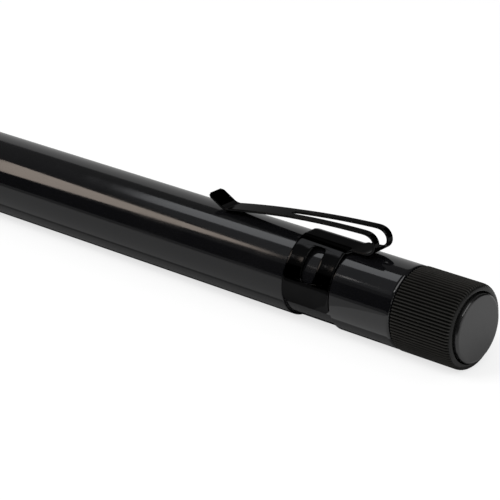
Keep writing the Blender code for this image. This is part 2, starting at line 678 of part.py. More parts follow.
def build_head(hinge):
    """Lamp head on the neck's last hinge; its outlines run from the hinge towards the lamp."""
    def head_turned(name, outline, finish):
        turned(name, [(-u, r) for u, r in outline], hinge, finish, SMALL_SIDES)

    black = material("head_gloss_black", (0.012, 0.012, 0.013), 0.2)
    stem_u = NECK_JOINT_GAP / 2
    head_turned("head_ferrule", [
        (stem_u, NECK_BORE_RADIUS),
        (stem_u, FERRULE_RADIUS - BARREL_EDGE),
        (stem_u + BARREL_EDGE, FERRULE_RADIUS),
        (SHELL_U - CLEAR, FERRULE_RADIUS),
        (SHELL_U - CLEAR, HEAD_STEM_RADIUS),
        (SHELL_U + HEAD_STEM_DEPTH, HEAD_STEM_RADIUS),
        (SHELL_U + HEAD_STEM_DEPTH, NECK_BORE_RADIUS),
    ], material("head_ferrule_steel", (0.35, 0.35, 0.36), 0.3, 1.0))

    socket = HEAD_STEM_RADIUS + CLEAR
    lead_hole = LEAD_RADIUS + CLEAR
    shell = [
        (SHELL_U, socket),
        (SHELL_U, FERRULE_RADIUS - BARREL_EDGE),
        (SHELL_U + BARREL_EDGE, FERRULE_RADIUS),
        (SHELL_U + HEAD_TAPER, HEAD_RADIUS),
    ]
    for fin in range(FIN_COUNT):
        groove = THREAD_U - (FIN_COUNT - fin) * FIN_PITCH
        half = FIN_PITCH / 4
        shell += [(groove - half, HEAD_RADIUS), (groove - half, HEAD_RADIUS - FIN_DEPTH),
                  (groove + half, HEAD_RADIUS - FIN_DEPTH), (groove + half, HEAD_RADIUS)]
    shell += [
        (THREAD_U, HEAD_RADIUS),
        (THREAD_U, THREAD_RADIUS),
        (SHELL_FRONT_U, THREAD_RADIUS),
        (SHELL_FRONT_U, CAVITY_RADIUS),
        (CAVITY_U, CAVITY_RADIUS),
        (CAVITY_U, lead_hole),
        (SHELL_SOCKET_U, lead_hole),
        (SHELL_SOCKET_U, socket),
    ]
    head_turned("head_shell", shell, black)

    fitted = CAVITY_RADIUS - CLEAR
    board_u = CAVITY_U + CLEAR
    board_end = board_u + BOARD_THICKNESS
    head_turned("led_board", [(board_u, 0.0), (board_u, fitted), (board_end, fitted), (board_end, 0.0)],
                material("board_white", (0.75, 0.76, 0.74), 0.4))
    led_u = board_end + CLEAR
    led = [(led_u, 0.0), (led_u, LED_RADIUS)]
    led += arc(led_u + LED_BASE, 0.0, LED_RADIUS, 90, 0, 4)
    head_turned("led_emitter", led, material("led_phosphor", (0.9, 0.8, 0.35), 0.25))

    cup_end = SHELL_FRONT_U - CLEAR
    throat = LED_RADIUS + CLEAR
    reflector = [(led_u, throat), (led_u, throat + REFLECTOR_WALL), (led_u + REFLECTOR_WALL, fitted),
                 (cup_end, fitted)]
    for t in np.linspace(1.0, 0.25, 4):
        reflector.append((led_u + t * (cup_end - led_u),
                          throat + math.sqrt(t) * (fitted - REFLECTOR_WALL - throat)))
    head_turned("reflector", reflector, material("reflector_bright", (0.85, 0.85, 0.86), 0.08, 1.0))

    seal = ring_wire(SHELL_FRONT_U + CLEAR + LENS_SEAL_WIRE, (THREAD_RADIUS + CAVITY_RADIUS) / 2,
                     LENS_SEAL_WIRE, 6)
    head_turned("lens_o_ring", seal, material("lens_seal_rubber", (0.01, 0.01, 0.01), 0.7))
    lens_radius = BEZEL_BORE - CLEAR
    lens_end = LENS_U + LENS_THICKNESS
    head_turned("lens", [(LENS_U, 0.0), (LENS_U, lens_radius), (lens_end, lens_radius), (lens_end, 0.0)],
                material("lens_clear", (0.9, 0.92, 0.93), 0.03))
    bezel_u = THREAD_U + CLEAR
    bezel_hole = HEAD_RADIUS - BEZEL_LIP_DEPTH
    head_turned("lens_bezel", [
        (bezel_u, BEZEL_BORE),
        (bezel_u, HEAD_RADIUS),
        (BEZEL_FRONT_U - BARREL_EDGE, HEAD_RADIUS),
        (BEZEL_FRONT_U, HEAD_RADIUS - BARREL_EDGE),
        (BEZEL_FRONT_U, bezel_hole),
        (BEZEL_LIP_U, bezel_hole),
        (BEZEL_LIP_U, BEZEL_BORE),
    ], material("bezel_satin_black", (0.015, 0.015, 0.016), 0.35, 0.4))


def stand_on_origin(root):
    """Moves the light so that the middle of its footprint is the origin, at floor height."""
    bpy.context.view_layer.update()
    graph = bpy.context.evaluated_depsgraph_get()
    corners = []
    for thing in bpy.context.scene.objects:
        if thing.type in {"MESH", "CURVE"}:
            solid = thing.evaluated_get(graph)
            mesh = solid.to_mesh()
            points = np.empty(len(mesh.vertices) * 3)
            mesh.vertices.foreach_get("co", points)
            turn = np.array(solid.matrix_world)
            placed = points.reshape(-1, 3) @ turn[:3, :3].T + turn[:3, 3]
            corners += [placed.min(0), placed.max(0)]
            solid.to_mesh_clear()
    low, high = np.min(corners, 0), np.max(corners, 0)
    root.location = (-(low[0] + high[0]) / 2, -(low[1] + high[1]) / 2, -low[2])
    bpy.context.view_layer.update()


clear_scene()
light = empty("work_light")
build_barrel(light)
build_nose(light)
build_cells(light)
build_clip(light)
build_tail(light)
build_head(build_neck(light))
stand_on_origin(light)
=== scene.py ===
"""Looks of the gooseneck work light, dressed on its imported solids.

Lengths are metres in the frame of the solids: +X runs along the barrel to the tail, +Z is up and
the clip is on top.
"""
import json
import math

import bmesh
import bpy
import numpy as np
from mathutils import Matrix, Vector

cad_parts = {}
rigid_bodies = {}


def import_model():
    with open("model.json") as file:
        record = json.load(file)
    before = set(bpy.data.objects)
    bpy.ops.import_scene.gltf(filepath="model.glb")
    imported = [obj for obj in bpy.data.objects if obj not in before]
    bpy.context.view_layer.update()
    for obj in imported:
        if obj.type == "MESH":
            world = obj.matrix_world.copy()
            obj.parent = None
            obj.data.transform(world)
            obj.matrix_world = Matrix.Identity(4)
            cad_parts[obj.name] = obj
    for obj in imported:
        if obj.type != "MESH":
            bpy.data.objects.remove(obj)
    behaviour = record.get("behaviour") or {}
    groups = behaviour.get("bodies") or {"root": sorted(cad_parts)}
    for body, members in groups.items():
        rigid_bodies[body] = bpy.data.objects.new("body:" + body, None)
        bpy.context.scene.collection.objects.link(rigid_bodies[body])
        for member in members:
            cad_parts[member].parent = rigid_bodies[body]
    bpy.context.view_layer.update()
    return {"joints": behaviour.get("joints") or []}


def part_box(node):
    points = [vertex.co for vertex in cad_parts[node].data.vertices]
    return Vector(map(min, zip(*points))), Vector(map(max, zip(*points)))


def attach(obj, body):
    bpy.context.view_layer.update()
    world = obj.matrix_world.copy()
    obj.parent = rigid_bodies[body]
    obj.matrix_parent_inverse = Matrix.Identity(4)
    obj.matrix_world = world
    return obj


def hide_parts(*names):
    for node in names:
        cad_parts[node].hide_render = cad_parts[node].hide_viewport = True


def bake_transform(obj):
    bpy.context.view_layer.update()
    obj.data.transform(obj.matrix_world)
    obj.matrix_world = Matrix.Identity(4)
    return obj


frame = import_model()

# Barrel tube: the battery case and handle, drawn from aluminium and anodised to a black gloss.
# The clip's groove and the plain land behind it are turned into its tail end, and every other
# piece is pressed or screwed into one of its two ends.
barrel_low, barrel_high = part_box("barrel_tube")
barrel_front, barrel_rear = barrel_low.x, barrel_high.x
barrel_radius = (barrel_high.z - barrel_low.z) / 2
barrel_wall = 0.00135
barrel_bore = barrel_radius - barrel_wall
land_length = 0.0148
land_radius = barrel_radius - 0.0001
groove_width = 0.0119
groove_radius = barrel_radius - 0.0005
groove_rear = barrel_rear - land_length
groove_front = groove_rear - groove_width
seat_gap = 0.0003
land_edge = 0.0007
break_edge, fine_edge = 0.0002, 0.0001
merge_reach = 2e-7
sharp_fold = math.radians(35)
along_x, upright = np.array((1.0, 0.0, 0.0)), np.array((0.0, 0.0, 1.0))
barrel_axis = np.array((0.0, (barrel_low.y + barrel_high.y) / 2, (barrel_low.z + barrel_high.z) / 2))
barrel_spindle = (barrel_axis, along_x, upright)


def outline(*corners):
    """A smooth outline from corners (along, radius, round), where a sharp corner gives no round.

    A round of size t swaps its corner C for the parabola (1-u)^2 A + 2u(1-u) C + u^2 B, where A and
    B lie t before and t after C, and adds a support point beyond each end of the parabola: 0.4 t
    beyond it, or a third of the straight that is left where that is shorter.
    """
    corner = np.array([(*corner, 0.0)[:3] for corner in corners], float)
    place, size = corner[:, :2], corner[:, 2:]
    way, support = [], []
    for turn in (1, -1):
        step = np.roll(place, turn, axis=0) - place
        run = np.linalg.norm(step, axis=1, keepdims=True)
        left = run - size - np.roll(size, turn, axis=0)
        way.append(step / run)
        support.append(place + (size + np.minimum(0.4 * size, left / 3)) * way[-1])
    u = np.linspace(0.0, 1.0, 8)[:, None, None]
    bow = (1 - u) ** 2 * (place + size * way[0]) + 2 * u * (1 - u) * place + u ** 2 * (place + size * way[1])
    rows = np.concatenate([support[:1], bow, support[1:]])
    line = rows.transpose(1, 0, 2).reshape(-1, 2)
    fresh = np.linalg.norm(line - np.roll(line, 1, axis=0), axis=1) > 1e-8
    return line[fresh]


def cells_of(number):
    """The four-sided cells between neighbours in a grid of point numbers."""
    cells = np.stack([number[:-1, :-1], number[1:, :-1], number[1:, 1:], number[:-1, 1:]], axis=-1)
    return cells.reshape(-1, 4)


def skin(name, grid, close_rows, marks=None):
    """A grid of points becomes one skin, closed round its columns and, if asked, round its rows."""
    number = np.arange(grid[..., 0].size).reshape(grid.shape[:2])
    if close_rows:
        number = np.vstack([number, number[:1]])
    number = np.hstack([number, number[:, :1]])
    return solid_of(name, grid.reshape(-1, 3), cells_of(number), marks)


def solid_of(name, points, cells, marks=None):
    """Points and four-sided cells become a smooth object; points that meet are merged."""
    mesh = bpy.data.meshes.new(name)
    mesh.from_pydata(points, [], cells.tolist())
    for mark, values in (marks or {}).items():
        layer = mesh.attributes.new(mark, "FLOAT", "POINT")
        layer.data.foreach_set("value", values.ravel().astype(np.float32))
    draft = bmesh.new()
    draft.from_mesh(mesh)
    bmesh.ops.remove_doubles(draft, verts=draft.verts, dist=merge_reach)
    bmesh.ops.recalc_face_normals(draft, faces=draft.faces)
    draft.to_mesh(mesh)
    draft.free()
    mesh.shade_smooth()
    mesh.set_sharp_from_angle(angle=sharp_fold)
    made = bpy.data.objects.new(name, mesh)
    bpy.context.scene.collection.objects.link(made)
    return made


def turned(name, line, spindle, around=160, relief=0.0, marks=None):
    """Lathe work: origin + along * axis + (radius + relief) * (cos a * up + sin a * side), all round."""
    origin, axis, up = spindle
    turn = np.linspace(0.0, math.tau, around, endpoint=False)[:, None]
    spoke = np.cos(turn) * up + np.sin(turn) * np.cross(axis, up)
    radius = line[:, 1:] + relief * np.ones(around)
    grid = origin + line[:, :1, None] * axis + radius[:, :, None] * spoke
    return skin(name, grid, line[0, 1] > merge_reach, marks)


class Tone:
    """One output socket of a finish. Arithmetic on it adds Math nodes, and node() adds any other."""

    def __init__(self, socket):
        self.socket = socket

    def node(self, kind, settings, values, output=0):
        """Adds a node: its type, the settings that come first, then its sockets' values or links."""
        tree = self.socket.id_data
        made = tree.nodes.new("ShaderNode" + kind)
        for name, setting in settings.items():
            setattr(made, name, setting)
        for name, value in values.items():
            if isinstance(value, Tone):
                tree.links.new(value.socket, made.inputs[name])
            else:
                made.inputs[name].default_value = value
        return Tone(made.outputs[output])

    def maths(self, operation, first, second=0.0):
        """Adds a Math node."""
        return self.node("Math", {"operation": operation}, {0: first, 1: second})

    def __add__(self, other):
        return self.maths("ADD", self, other)

    def __sub__(self, other):
        return self.maths("SUBTRACT", self, other)

    def __rsub__(self, other):
        return self.maths("SUBTRACT", other, self)

    def __mul__(self, other):
        return self.maths("MULTIPLY", self, other)

    __radd__, __rmul__ = __add__, __mul__

    def wave(self, length):
        """A sine of the value with that wavelength, from -1 to 1."""
        return self.maths("SINE", self * (math.tau / length))

    def step(self, low, high):
        """Eases from 0 at low to 1 at high."""
        return self.node("MapRange", {"interpolation_type": "SMOOTHSTEP"},
                         {"Value": self, "From Min": low, "From Max": high})

    def along(self, direction):
        """How far a point lies along a direction."""
        return self.node("VectorMath", {"operation": "DOT_PRODUCT"}, {0: self, 1: direction}, "Value")

    def grain(self, size, detail=2.0):
        """Noise with lumps of that size, one size for each axis or one for all three, from 0 to 1."""
        scale = 1.0 / (np.ones(3) * size)
        sized = self.node("VectorMath", {"operation": "MULTIPLY"}, {0: self, 1: scale})
        return self.node("TexNoise", {}, {"Vector": sized, "Scale": 1.0, "Detail": detail})

    def tint(self, first, second):
        """Mixes two colours: the first where the value is 0, the second where it is 1."""
        return self.node("Mix", {"data_type": "RGBA"}, {0: self, 6: (*first, 1.0), 7: (*second, 1.0)}, 2)

    def dents(self, depth):
        """Surface relief, with the value as its height in units of depth."""
        return self.node("Bump", {}, {"Height": self, "Strength": 1.0, "Distance": depth})


def new_finish(name, even):
    """Starts a finish: its even values go on the shader; returns it with its Object coordinates."""
    made = bpy.data.materials.new(name)
    made.use_nodes = True
    shader = made.node_tree.nodes["Principled BSDF"]
    for socket, value in even.items():
        shader.inputs[socket].default_value = value
    place = made.node_tree.nodes.new("ShaderNodeTexCoord")
    return made, Tone(place.outputs["Object"])


def feed(finish, varying):
    """Links what changes over the surface to the finish's shader."""
    tree = finish.node_tree
    for socket, tone in varying.items():
        tree.links.new(tone.socket, tree.nodes["Principled BSDF"].inputs[socket])
    return finish


def black_gloss():
    """Sealed black anodising: faint drawn lines along the tube, soft smudges and a slight ripple."""
    made, place = new_finish("black_gloss", {"IOR": 1.5})
    smudge = place.grain(0.014, 3.0)
    drawn = place.grain((0.02, 0.00035, 0.00035))
    ripple = place.grain(0.0025)
    return feed(made, {
        "Base Color": smudge.tint((0.0025, 0.0025, 0.003), (0.0045, 0.0045, 0.005)),
        "Roughness": 0.05 + 0.07 * smudge.step(0.35, 0.75) + 0.04 * drawn,
        "Normal": (ripple + 0.12 * drawn).dents(0.000003),
    })


def dress(piece, finish, body, slot, *nodes):
    """Gives a piece its finish and body, and lets it stand for its solids; its slot is not used."""
    piece.data.materials.append(finish)
    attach(piece, body)
    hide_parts(*nodes)
    return piece


gloss = black_gloss()
barrel_line = outline(
    (barrel_front, barrel_bore, break_edge),
    (barrel_front, barrel_radius, break_edge),
    (groove_front, barrel_radius, break_edge),
    (groove_front, groove_radius, fine_edge),
    (groove_rear, groove_radius, fine_edge),
    (groove_rear, land_radius, break_edge),
    (barrel_rear, land_radius, land_edge),
    (barrel_rear, barrel_bore, break_edge),
)
dress(turned("barrel_skin", barrel_line, barrel_spindle, 240), gloss, "barrel", "barrel_black", "barrel_tube")

# Nose: the tapered front end, turned from the same aluminium bar and pressed into the barrel.
# Its socket takes the neck's steel ferrule, and the lead passes through its middle.


def round_size(node):
    """Both ends along the barrel and the radius of a round solid."""
    low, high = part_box(node)
    return low.x, high.x, (high.z - low.z) / 2


nose_tip, spigot_end = round_size("nose_cone")[:2]
nose_shoulder = barrel_front - seat_gap
nose_band = 0.0035
nose_tip_length = 0.003
neck_crest = 0.004
neck_bore = 0.002
nose_socket = neck_crest + seat_gap
nose_tip_radius = nose_socket + 0.0011
nose_socket_end = nose_tip + 0.0073
spigot_radius = barrel_bore - seat_gap
spigot_bore = spigot_radius - 0.0016
taper = np.linspace(0.0, 1.0, 30)
taper_ease = taper * taper * (3 - 2 * taper)
taper_line = np.stack([
    nose_shoulder - nose_band + taper * (nose_tip + nose_tip_length - nose_shoulder + nose_band),
    barrel_radius + taper_ease * (nose_tip_radius - barrel_radius)], axis=1)
nose_line = np.concatenate([
    outline(
        (spigot_end, spigot_bore), (spigot_end, spigot_radius, break_edge),
        (nose_shoulder, spigot_radius), (nose_shoulder, barrel_radius, break_edge),
        (nose_shoulder - nose_band / 2, barrel_radius)),
    taper_line,
    outline(
        (nose_tip + nose_tip_length / 2, nose_tip_radius), (nose_tip, nose_tip_radius, break_edge),
        (nose_tip, nose_socket, break_edge), (nose_socket_end, nose_socket),
        (nose_socket_end, neck_bore), (nose_shoulder, neck_bore),
        (nose_shoulder, spigot_bore)),
])
dress(turned("nose_skin", nose_line, barrel_spindle), gloss, "barrel", "barrel_black", "nose_cone")

# Neck ferrule: a turned steel collar that holds the neck's root, pressed into the nose.
# It keeps the fine rings that the lathe tool leaves.
ferrule_front, ferrule_rear, ferrule_radius = round_size("neck_ferrule")
ferrule_shoulder = nose_tip - seat_gap
ferrule_groove = 0.0003
ferrule_groove_edge = 0.00005


def turned_steel(name, axis):
    """Satin turned steel: tool rings across the axis, dulled unevenly by handling."""
    made, place = new_finish(name, {"Metallic": 1.0})
    rings = place.along(axis).wave(0.00012)
    worn = place.grain(0.003, 4.0)
    return feed(made, {
        "Base Color": worn.tint((0.30, 0.30, 0.31), (0.46, 0.46, 0.47)),
        "Roughness": 0.24 + 0.16 * worn,
        "Normal": rings.dents(0.000004),
    })


def collar_line(back, front, radius, bore):
    """Collar with two shallow grooves near its middle; the outline runs from back to front."""
    middle = (back + front) / 2
    way = math.copysign(1.0, front - back)
    floor = radius - ferrule_groove / 2
    line = [(back, bore), (back, radius, break_edge)]
    for steps in ((-2.2, -1.2), (1.2, 2.2)):
        start, end = [middle + way * step * ferrule_groove for step in steps]
        line += [(start, radius, ferrule_groove_edge), (start, floor), (end, floor),
                 (end, radius, ferrule_groove_edge)]
    return line + [(front, radius, break_edge), (front, bore)]


ferrule_line = outline(
    (ferrule_rear, neck_bore), (ferrule_rear, neck_crest),
    (ferrule_shoulder, neck_crest),
    *collar_line(ferrule_shoulder, ferrule_front, ferrule_radius, neck_bore)[1:])
dress(turned("ferrule_skin", ferrule_line, barrel_spindle), turned_steel("ferrule_satin", along_x),
      "barrel", "ferrule_steel", "neck_ferrule")

# Front contact: a brass stud with a flat head, riveted through a moulded insulator disc.
# The front cell's raised end presses on the head, and the lead is soldered to the stud.
disc_front, disc_rear, disc_radius = round_size("front_insulator")
stud_front, stud_rear, stud_head_radius = round_size("front_contact")
stud_radius = 0.0013
stud_head = 0.0008
stud_head_edge = 0.0003


def moulded(name, dark, light, rough, grain_size=0.0004):
    """Moulded plastic: a fine spark-eroded grain and faint flow marks."""
    made, place = new_finish(name, {"IOR": 1.47})
    flow = place.grain(0.006, 3.0)
    pores = place.grain(grain_size, 1.0)
    return feed(made, {
        "Base Color": flow.tint(dark, light),
        "Roughness": rough - 0.06 + 0.12 * flow,
        "Normal": pores.dents(grain_size / 30),
    })


def brass():
    """Turned brass, warm and slightly tarnished."""
    made, place = new_finish("contact_brass", {"Metallic": 1.0})
    tarnish = place.grain(0.002, 4.0)
    return feed(made, {
        "Base Color": tarnish.tint((0.74, 0.52, 0.22), (0.55, 0.36, 0.14)),
        "Roughness": 0.2 + 0.2 * tarnish,
        "Normal": place.along(along_x).wave(0.0001).dents(0.000002),
    })


contact_brass = brass()
insulator_line = outline(
    (disc_front, stud_radius + seat_gap, fine_edge), (disc_front, disc_radius, break_edge),
    (disc_rear, disc_radius, break_edge), (disc_rear, stud_radius + seat_gap, fine_edge))
stud_line = outline(
    (stud_front, 0.0), (stud_front, stud_radius, break_edge),
    (stud_rear - stud_head, stud_radius), (stud_rear - stud_head, stud_head_radius, fine_edge),
    (stud_rear, stud_head_radius, stud_head_edge), (stud_rear, 0.0))
dress(turned("insulator_disc", insulator_line, barrel_spindle, 96),
      moulded("insulator_ivory", (0.72, 0.69, 0.63), (0.79, 0.77, 0.72), 0.5),
      "barrel", "insulator", "front_insulator")
dress(turned("contact_stud", stud_line, barrel_spindle, 64), contact_brass,
      "barrel", "brass", "front_contact")

# Cells: two round cells in line, each a steel can in a plain shrunk sleeve.
# The raised end faces the lamp, and the sleeve turns in over both shoulders.
nub_radius = 0.0027
nub_height = 0.0012
nub_edge = 0.0004
sleeve_turn_in = 0.0006


def cell_sleeve():
    """Shrunk sleeve: plain grey film with faint lines of tension along it."""
    made, place = new_finish("cell_film", {"IOR": 1.5, "Metallic": 0.3})
    pull = place.grain((0.01, 0.0008, 0.0008))
    return feed(made, {
        "Base Color": pull.tint((0.13, 0.14, 0.16), (0.19, 0.2, 0.22)),
        "Roughness": 0.28 + 0.14 * pull,
        "Normal": pull.dents(0.00001),
    })


film = cell_sleeve()
for node in ("battery_front", "battery_rear"):
    cell_front, cell_rear, cell_radius = round_size(node)
    can = cell_front + nub_height
    cell_line = outline(
        (cell_front, 0.0), (cell_front, nub_radius, nub_edge), (can, nub_radius, break_edge),
        (can, cell_radius, sleeve_turn_in), (cell_rear, cell_radius, sleeve_turn_in),
        (cell_rear, 0.0))
    dress(turned(node + "_can", cell_line, barrel_spindle, 120), film, "barrel", "cell_sleeve", node)

# Battery spring: bright spring wire wound into a plain coil.
# It stands on the switch's contact plate and pushes both cells towards the lamp.
battery_spring_turns = 5
battery_spring_wire = 0.0004
wire_around = 14
coil_steps = 40


def wire_steel():
    """Drawn spring wire, bright with fine die lines."""
    made, place = new_finish("spring_wire", {"Metallic": 1.0})
    die = place.grain(0.0006, 3.0)
    return feed(made, {
        "Base Color": die.tint((0.44, 0.44, 0.45), (0.62, 0.62, 0.62)),
        "Roughness": 0.18 + 0.14 * die,
    })


def swept(name, path, heading, radius, around, lift, marks=None, close_rows=False):
    """A round section carried along a path: path + radius * (cos a * up + sin a * side).

    The side is square to the heading and to the lift direction, and up is square to both.
    """
    heading = heading / np.linalg.norm(heading, axis=1, keepdims=True)
    side = np.cross(heading, lift)
    side /= np.linalg.norm(side, axis=1, keepdims=True)
    up = np.cross(side, heading)
    turn = np.linspace(0.0, math.tau, around, endpoint=False)
    spoke = np.cos(turn)[:, None] * up[:, None] + np.sin(turn)[:, None] * side[:, None]
    return skin(name, path[:, None] + radius[:, :, None] * spoke, close_rows, marks)


def capped(path, radius):
    """Path and radii with an extra point of no radius at both ends, which closes a tube."""
    reach = np.concatenate([path[:1], path, path[-1:]])
    size = np.concatenate([[0.0], np.full(len(path), radius), [0.0]])
    return reach, size[:, None]


def coiled(name, node, wire, turns):
    """A spring: a helix of even pitch between its node's two ends, with closed wire ends."""
    front, rear, radius = round_size(node)
    t = np.linspace(0.0, 1.0, turns * coil_steps + 1)
    angle = math.tau * turns * t
    radius -= wire
    path = np.stack([
        front + wire + (rear - front - 2 * wire) * t,
        barrel_axis[1] + radius * np.cos(angle),
        barrel_axis[2] + radius * np.sin(angle)], axis=1)
    heading = np.gradient(path, axis=0)
    path, size = capped(path, wire)
    heading = np.concatenate([heading[:1], heading, heading[-1:]])
    return swept(name, path, heading, size * np.ones(wire_around), wire_around, along_x)


spring_wire = wire_steel()
dress(coiled("battery_coil", "battery_spring", battery_spring_wire, battery_spring_turns), spring_wire,
      "tail_spring", "spring_steel", "battery_spring")

# Tail insert: a turned aluminium plug, screwed into the barrel by its threaded spigot.
# Its body is pressed into the cap, and its bore holds the switch.
insert_front, insert_rear, insert_radius = round_size("tail_insert")
insert_bore = 0.0056
insert_lip = 0.0016
thread_pitch = 0.001
thread_depth = 0.00025
thread_end = barrel_rear - 0.0038
seal_place = barrel_rear - 0.0025
seal_wire = 0.0004
seal_half = seal_wire + seat_gap
seal_floor = spigot_radius - 2 * seal_wire - seat_gap
plunger_hole = 0.0016 + seat_gap


def turned_aluminium():
    """Bare turned aluminium: close tool rings and a dull bloom."""
    made, place = new_finish("insert_bare", {"Metallic": 1.0})
    bloom = place.grain(0.002, 3.0)
    return feed(made, {
        "Base Color": bloom.tint((0.58, 0.59, 0.6), (0.72, 0.72, 0.73)),
        "Roughness": 0.26 + 0.16 * bloom,
        "Normal": place.along(along_x).wave(0.00015).dents(0.000003),
    })


insert_around = 160
thread_rows = 61
thread_inset = 0.0001
insert_plain = outline(
    (thread_end, spigot_radius), (seal_place - seal_half, spigot_radius),
    (seal_place - seal_half, seal_floor), (seal_place + seal_half, seal_floor),
    (seal_place + seal_half, spigot_radius), (barrel_rear + seat_gap, spigot_radius),
    (barrel_rear + seat_gap, insert_radius, fine_edge), (insert_rear, insert_radius, fine_edge),
    (insert_rear, plunger_hole), (insert_rear - insert_lip, plunger_hole),
    (insert_rear - insert_lip, insert_bore), (insert_front, insert_bore),
    (insert_front, spigot_radius - thread_depth))
thread_along = np.linspace(insert_front + thread_inset, thread_end - thread_inset, thread_rows)
thread_line = np.stack([thread_along, np.full(thread_rows, spigot_radius)], axis=1)
insert_shape = np.concatenate([insert_plain, thread_line])
thread_turn = np.arange(insert_around) / insert_around
thread_fade = np.clip((thread_end - insert_shape[:, :1]) / thread_pitch, 0.0, 1.0)
thread_phase = np.abs(((insert_shape[:, :1] / thread_pitch - thread_turn) % 1.0) * 2 - 1)
threaded = (np.arange(len(insert_shape)) >= len(insert_plain))[:, None]
insert_relief = -thread_depth * np.where(threaded, 1 - (1 - thread_phase) * thread_fade, 0.0)
dress(turned("insert_plug", insert_shape, barrel_spindle, insert_around, insert_relief), turned_aluminium(),
      "tail_cap", "insert_metal", "tail_insert")

# Tail seal: a black rubber ring in the insert's groove.
# It keeps water out and stops the cap from turning by itself.
seal_around = 20


def ring_line(along, radius, wire):
    """Round section of a seal: centre + wire * (cos a, sin a)."""
    turn = np.linspace(0.0, math.tau, seal_around, endpoint=False)
    return np.stack([along + wire * np.cos(turn), radius + wire * np.sin(turn)], axis=1)


rubber = moulded("seal_rubber", (0.006, 0.006, 0.006), (0.014, 0.014, 0.014), 0.62, 0.0002)
seal_line = ring_line(seal_place, spigot_radius - seal_wire, seal_wire)
dress(turned("seal_ring", seal_line, barrel_spindle), rubber, "tail_cap", "rubber_seal", "tail_o_ring")

# Switch: a nylon body in the insert's bore, a brass plate under it and a brass plunger above.
# A thin spring round the button's stem, which shortens as it is pressed, brings the button back.
plate_front, plate_rear, plate_radius = round_size("switch_contact")
switch_low, switch_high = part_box("switch_body")
plunger_front, plunger_rear, plunger_radius = round_size("switch_plunger")
switch_well = 0.006
switch_edge = 0.0005
plunger_edge = 0.0003
switch_spring_turns = 3
switch_spring_wire = 0.00025


def disc_line(back, front, radius, front_edge=fine_edge):
    """A solid disc or pin from back to front."""
    return outline((back, 0.0), (back, radius, fine_edge), (front, radius, front_edge), (front, 0.0))


def bend(piece, finish, parent, child, start, end, slot, *nodes):
    """Gives a piece its finish, bakes where it stands into its mesh, and lets it stand for its solids;
    parent, child and slot are not used, and start and end have no effect.
    """
    piece.data.materials.append(finish)
    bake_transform(piece)
    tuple(start)
    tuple(end)
    if nodes:
        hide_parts(*nodes)


plate_line = disc_line(plate_front, plate_rear, plate_radius)
switch_line = outline(
    (switch_low.x, 0.0), (switch_low.x, plate_radius, switch_edge), (switch_high.x, plate_radius, fine_edge),
    (switch_high.x, plunger_hole, fine_edge), (switch_high.x - switch_well, plunger_hole),
    (switch_high.x - switch_well, 0.0))
plunger_line = disc_line(plunger_front, plunger_rear, plunger_radius, plunger_edge)
dress(turned("switch_plate", plate_line, barrel_spindle, 96), contact_brass,
      "tail_cap", "brass", "switch_contact")
dress(turned("switch_block", switch_line, barrel_spindle, 96),
      moulded("switch_nylon", (0.035, 0.035, 0.04), (0.055, 0.055, 0.06), 0.48),
      "tail_cap", "switch_plastic", "switch_body")
bend(coiled("switch_coil", "switch_spring", switch_spring_wire, switch_spring_turns), spring_wire,
     "tail_cap", "button", *[(end.x, *barrel_axis[1:]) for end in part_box("switch_spring")],
     "spring_steel", "switch_spring")
dress(turned("plunger_pin", plunger_line, barrel_spindle, 64), contact_brass,
      "button", "brass", "switch_plunger")

# Tail cap: a moulded matt black sleeve with a straight knurl for the fingers.
# It turns with the insert inside it, and its inward lip keeps the button in.
cap_low, cap_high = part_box("tail_cap")
cap_slack = 0.00006
cap_wall, cap_rim = 0.00084, 0.00142
cap_radius = (cap_high.z - cap_low.z) / 2 - cap_slack
cap_bore = cap_radius - cap_wall
cap_hole = cap_radius - cap_rim
cap_lip = 0.002
cap_rim_round = 0.00125
cap_hole_edge = 0.00015
cap_front_edges = 0.00005, 0.00008
knurl_count = 80
knurl_steps = 10
knurl_rows = 24
knurl_depth = 0.0004
cap_front = cap_low.x - 0.0002
knurl_front = cap_front + 0.0003
knurl_rear = cap_high.x - 0.0005
knurl_run_out = 0.0003
rim_start = cap_high.x - 1.5 * cap_rim_round


def matt_black():
    """Matt black moulding with a fine grain, painted paler on the knurl's crests as a highlight and darker in
    its valleys as shade, but not on the rim, which is glossier.
    """
    made, place = new_finish("cap_matt", {"IOR": 1.12, "Coat IOR": 1.27, "Coat Roughness": 0.25})
    pores = place.grain(0.00018, 2.0)
    crest = place.node("Attribute", {"attribute_name": "crest"}, {}, "Fac").step(0.0, 1.0)
    rim = place.along(along_x).step(knurl_rear, knurl_rear + knurl_run_out)
    # Painted highlight and shade: the colour follows the crest mark, pale on the crests and dark in the
    # valleys. It is held back on the rim and varied at random by a grain.
    painted_crest_light = (crest - 0.8 * rim) * (0.7 + 0.6 * place.grain(0.004, 4.0))
    return feed(made, {
        "Base Color": painted_crest_light.tint((0.0012, 0.0012, 0.001), (0.0185, 0.0178, 0.0162)),
        "Roughness": 0.62 - 0.2 * painted_crest_light,
        "Coat Weight": 0.3 * crest + 0.65 * rim,
        "Normal": pores.dents(0.000012),
    })


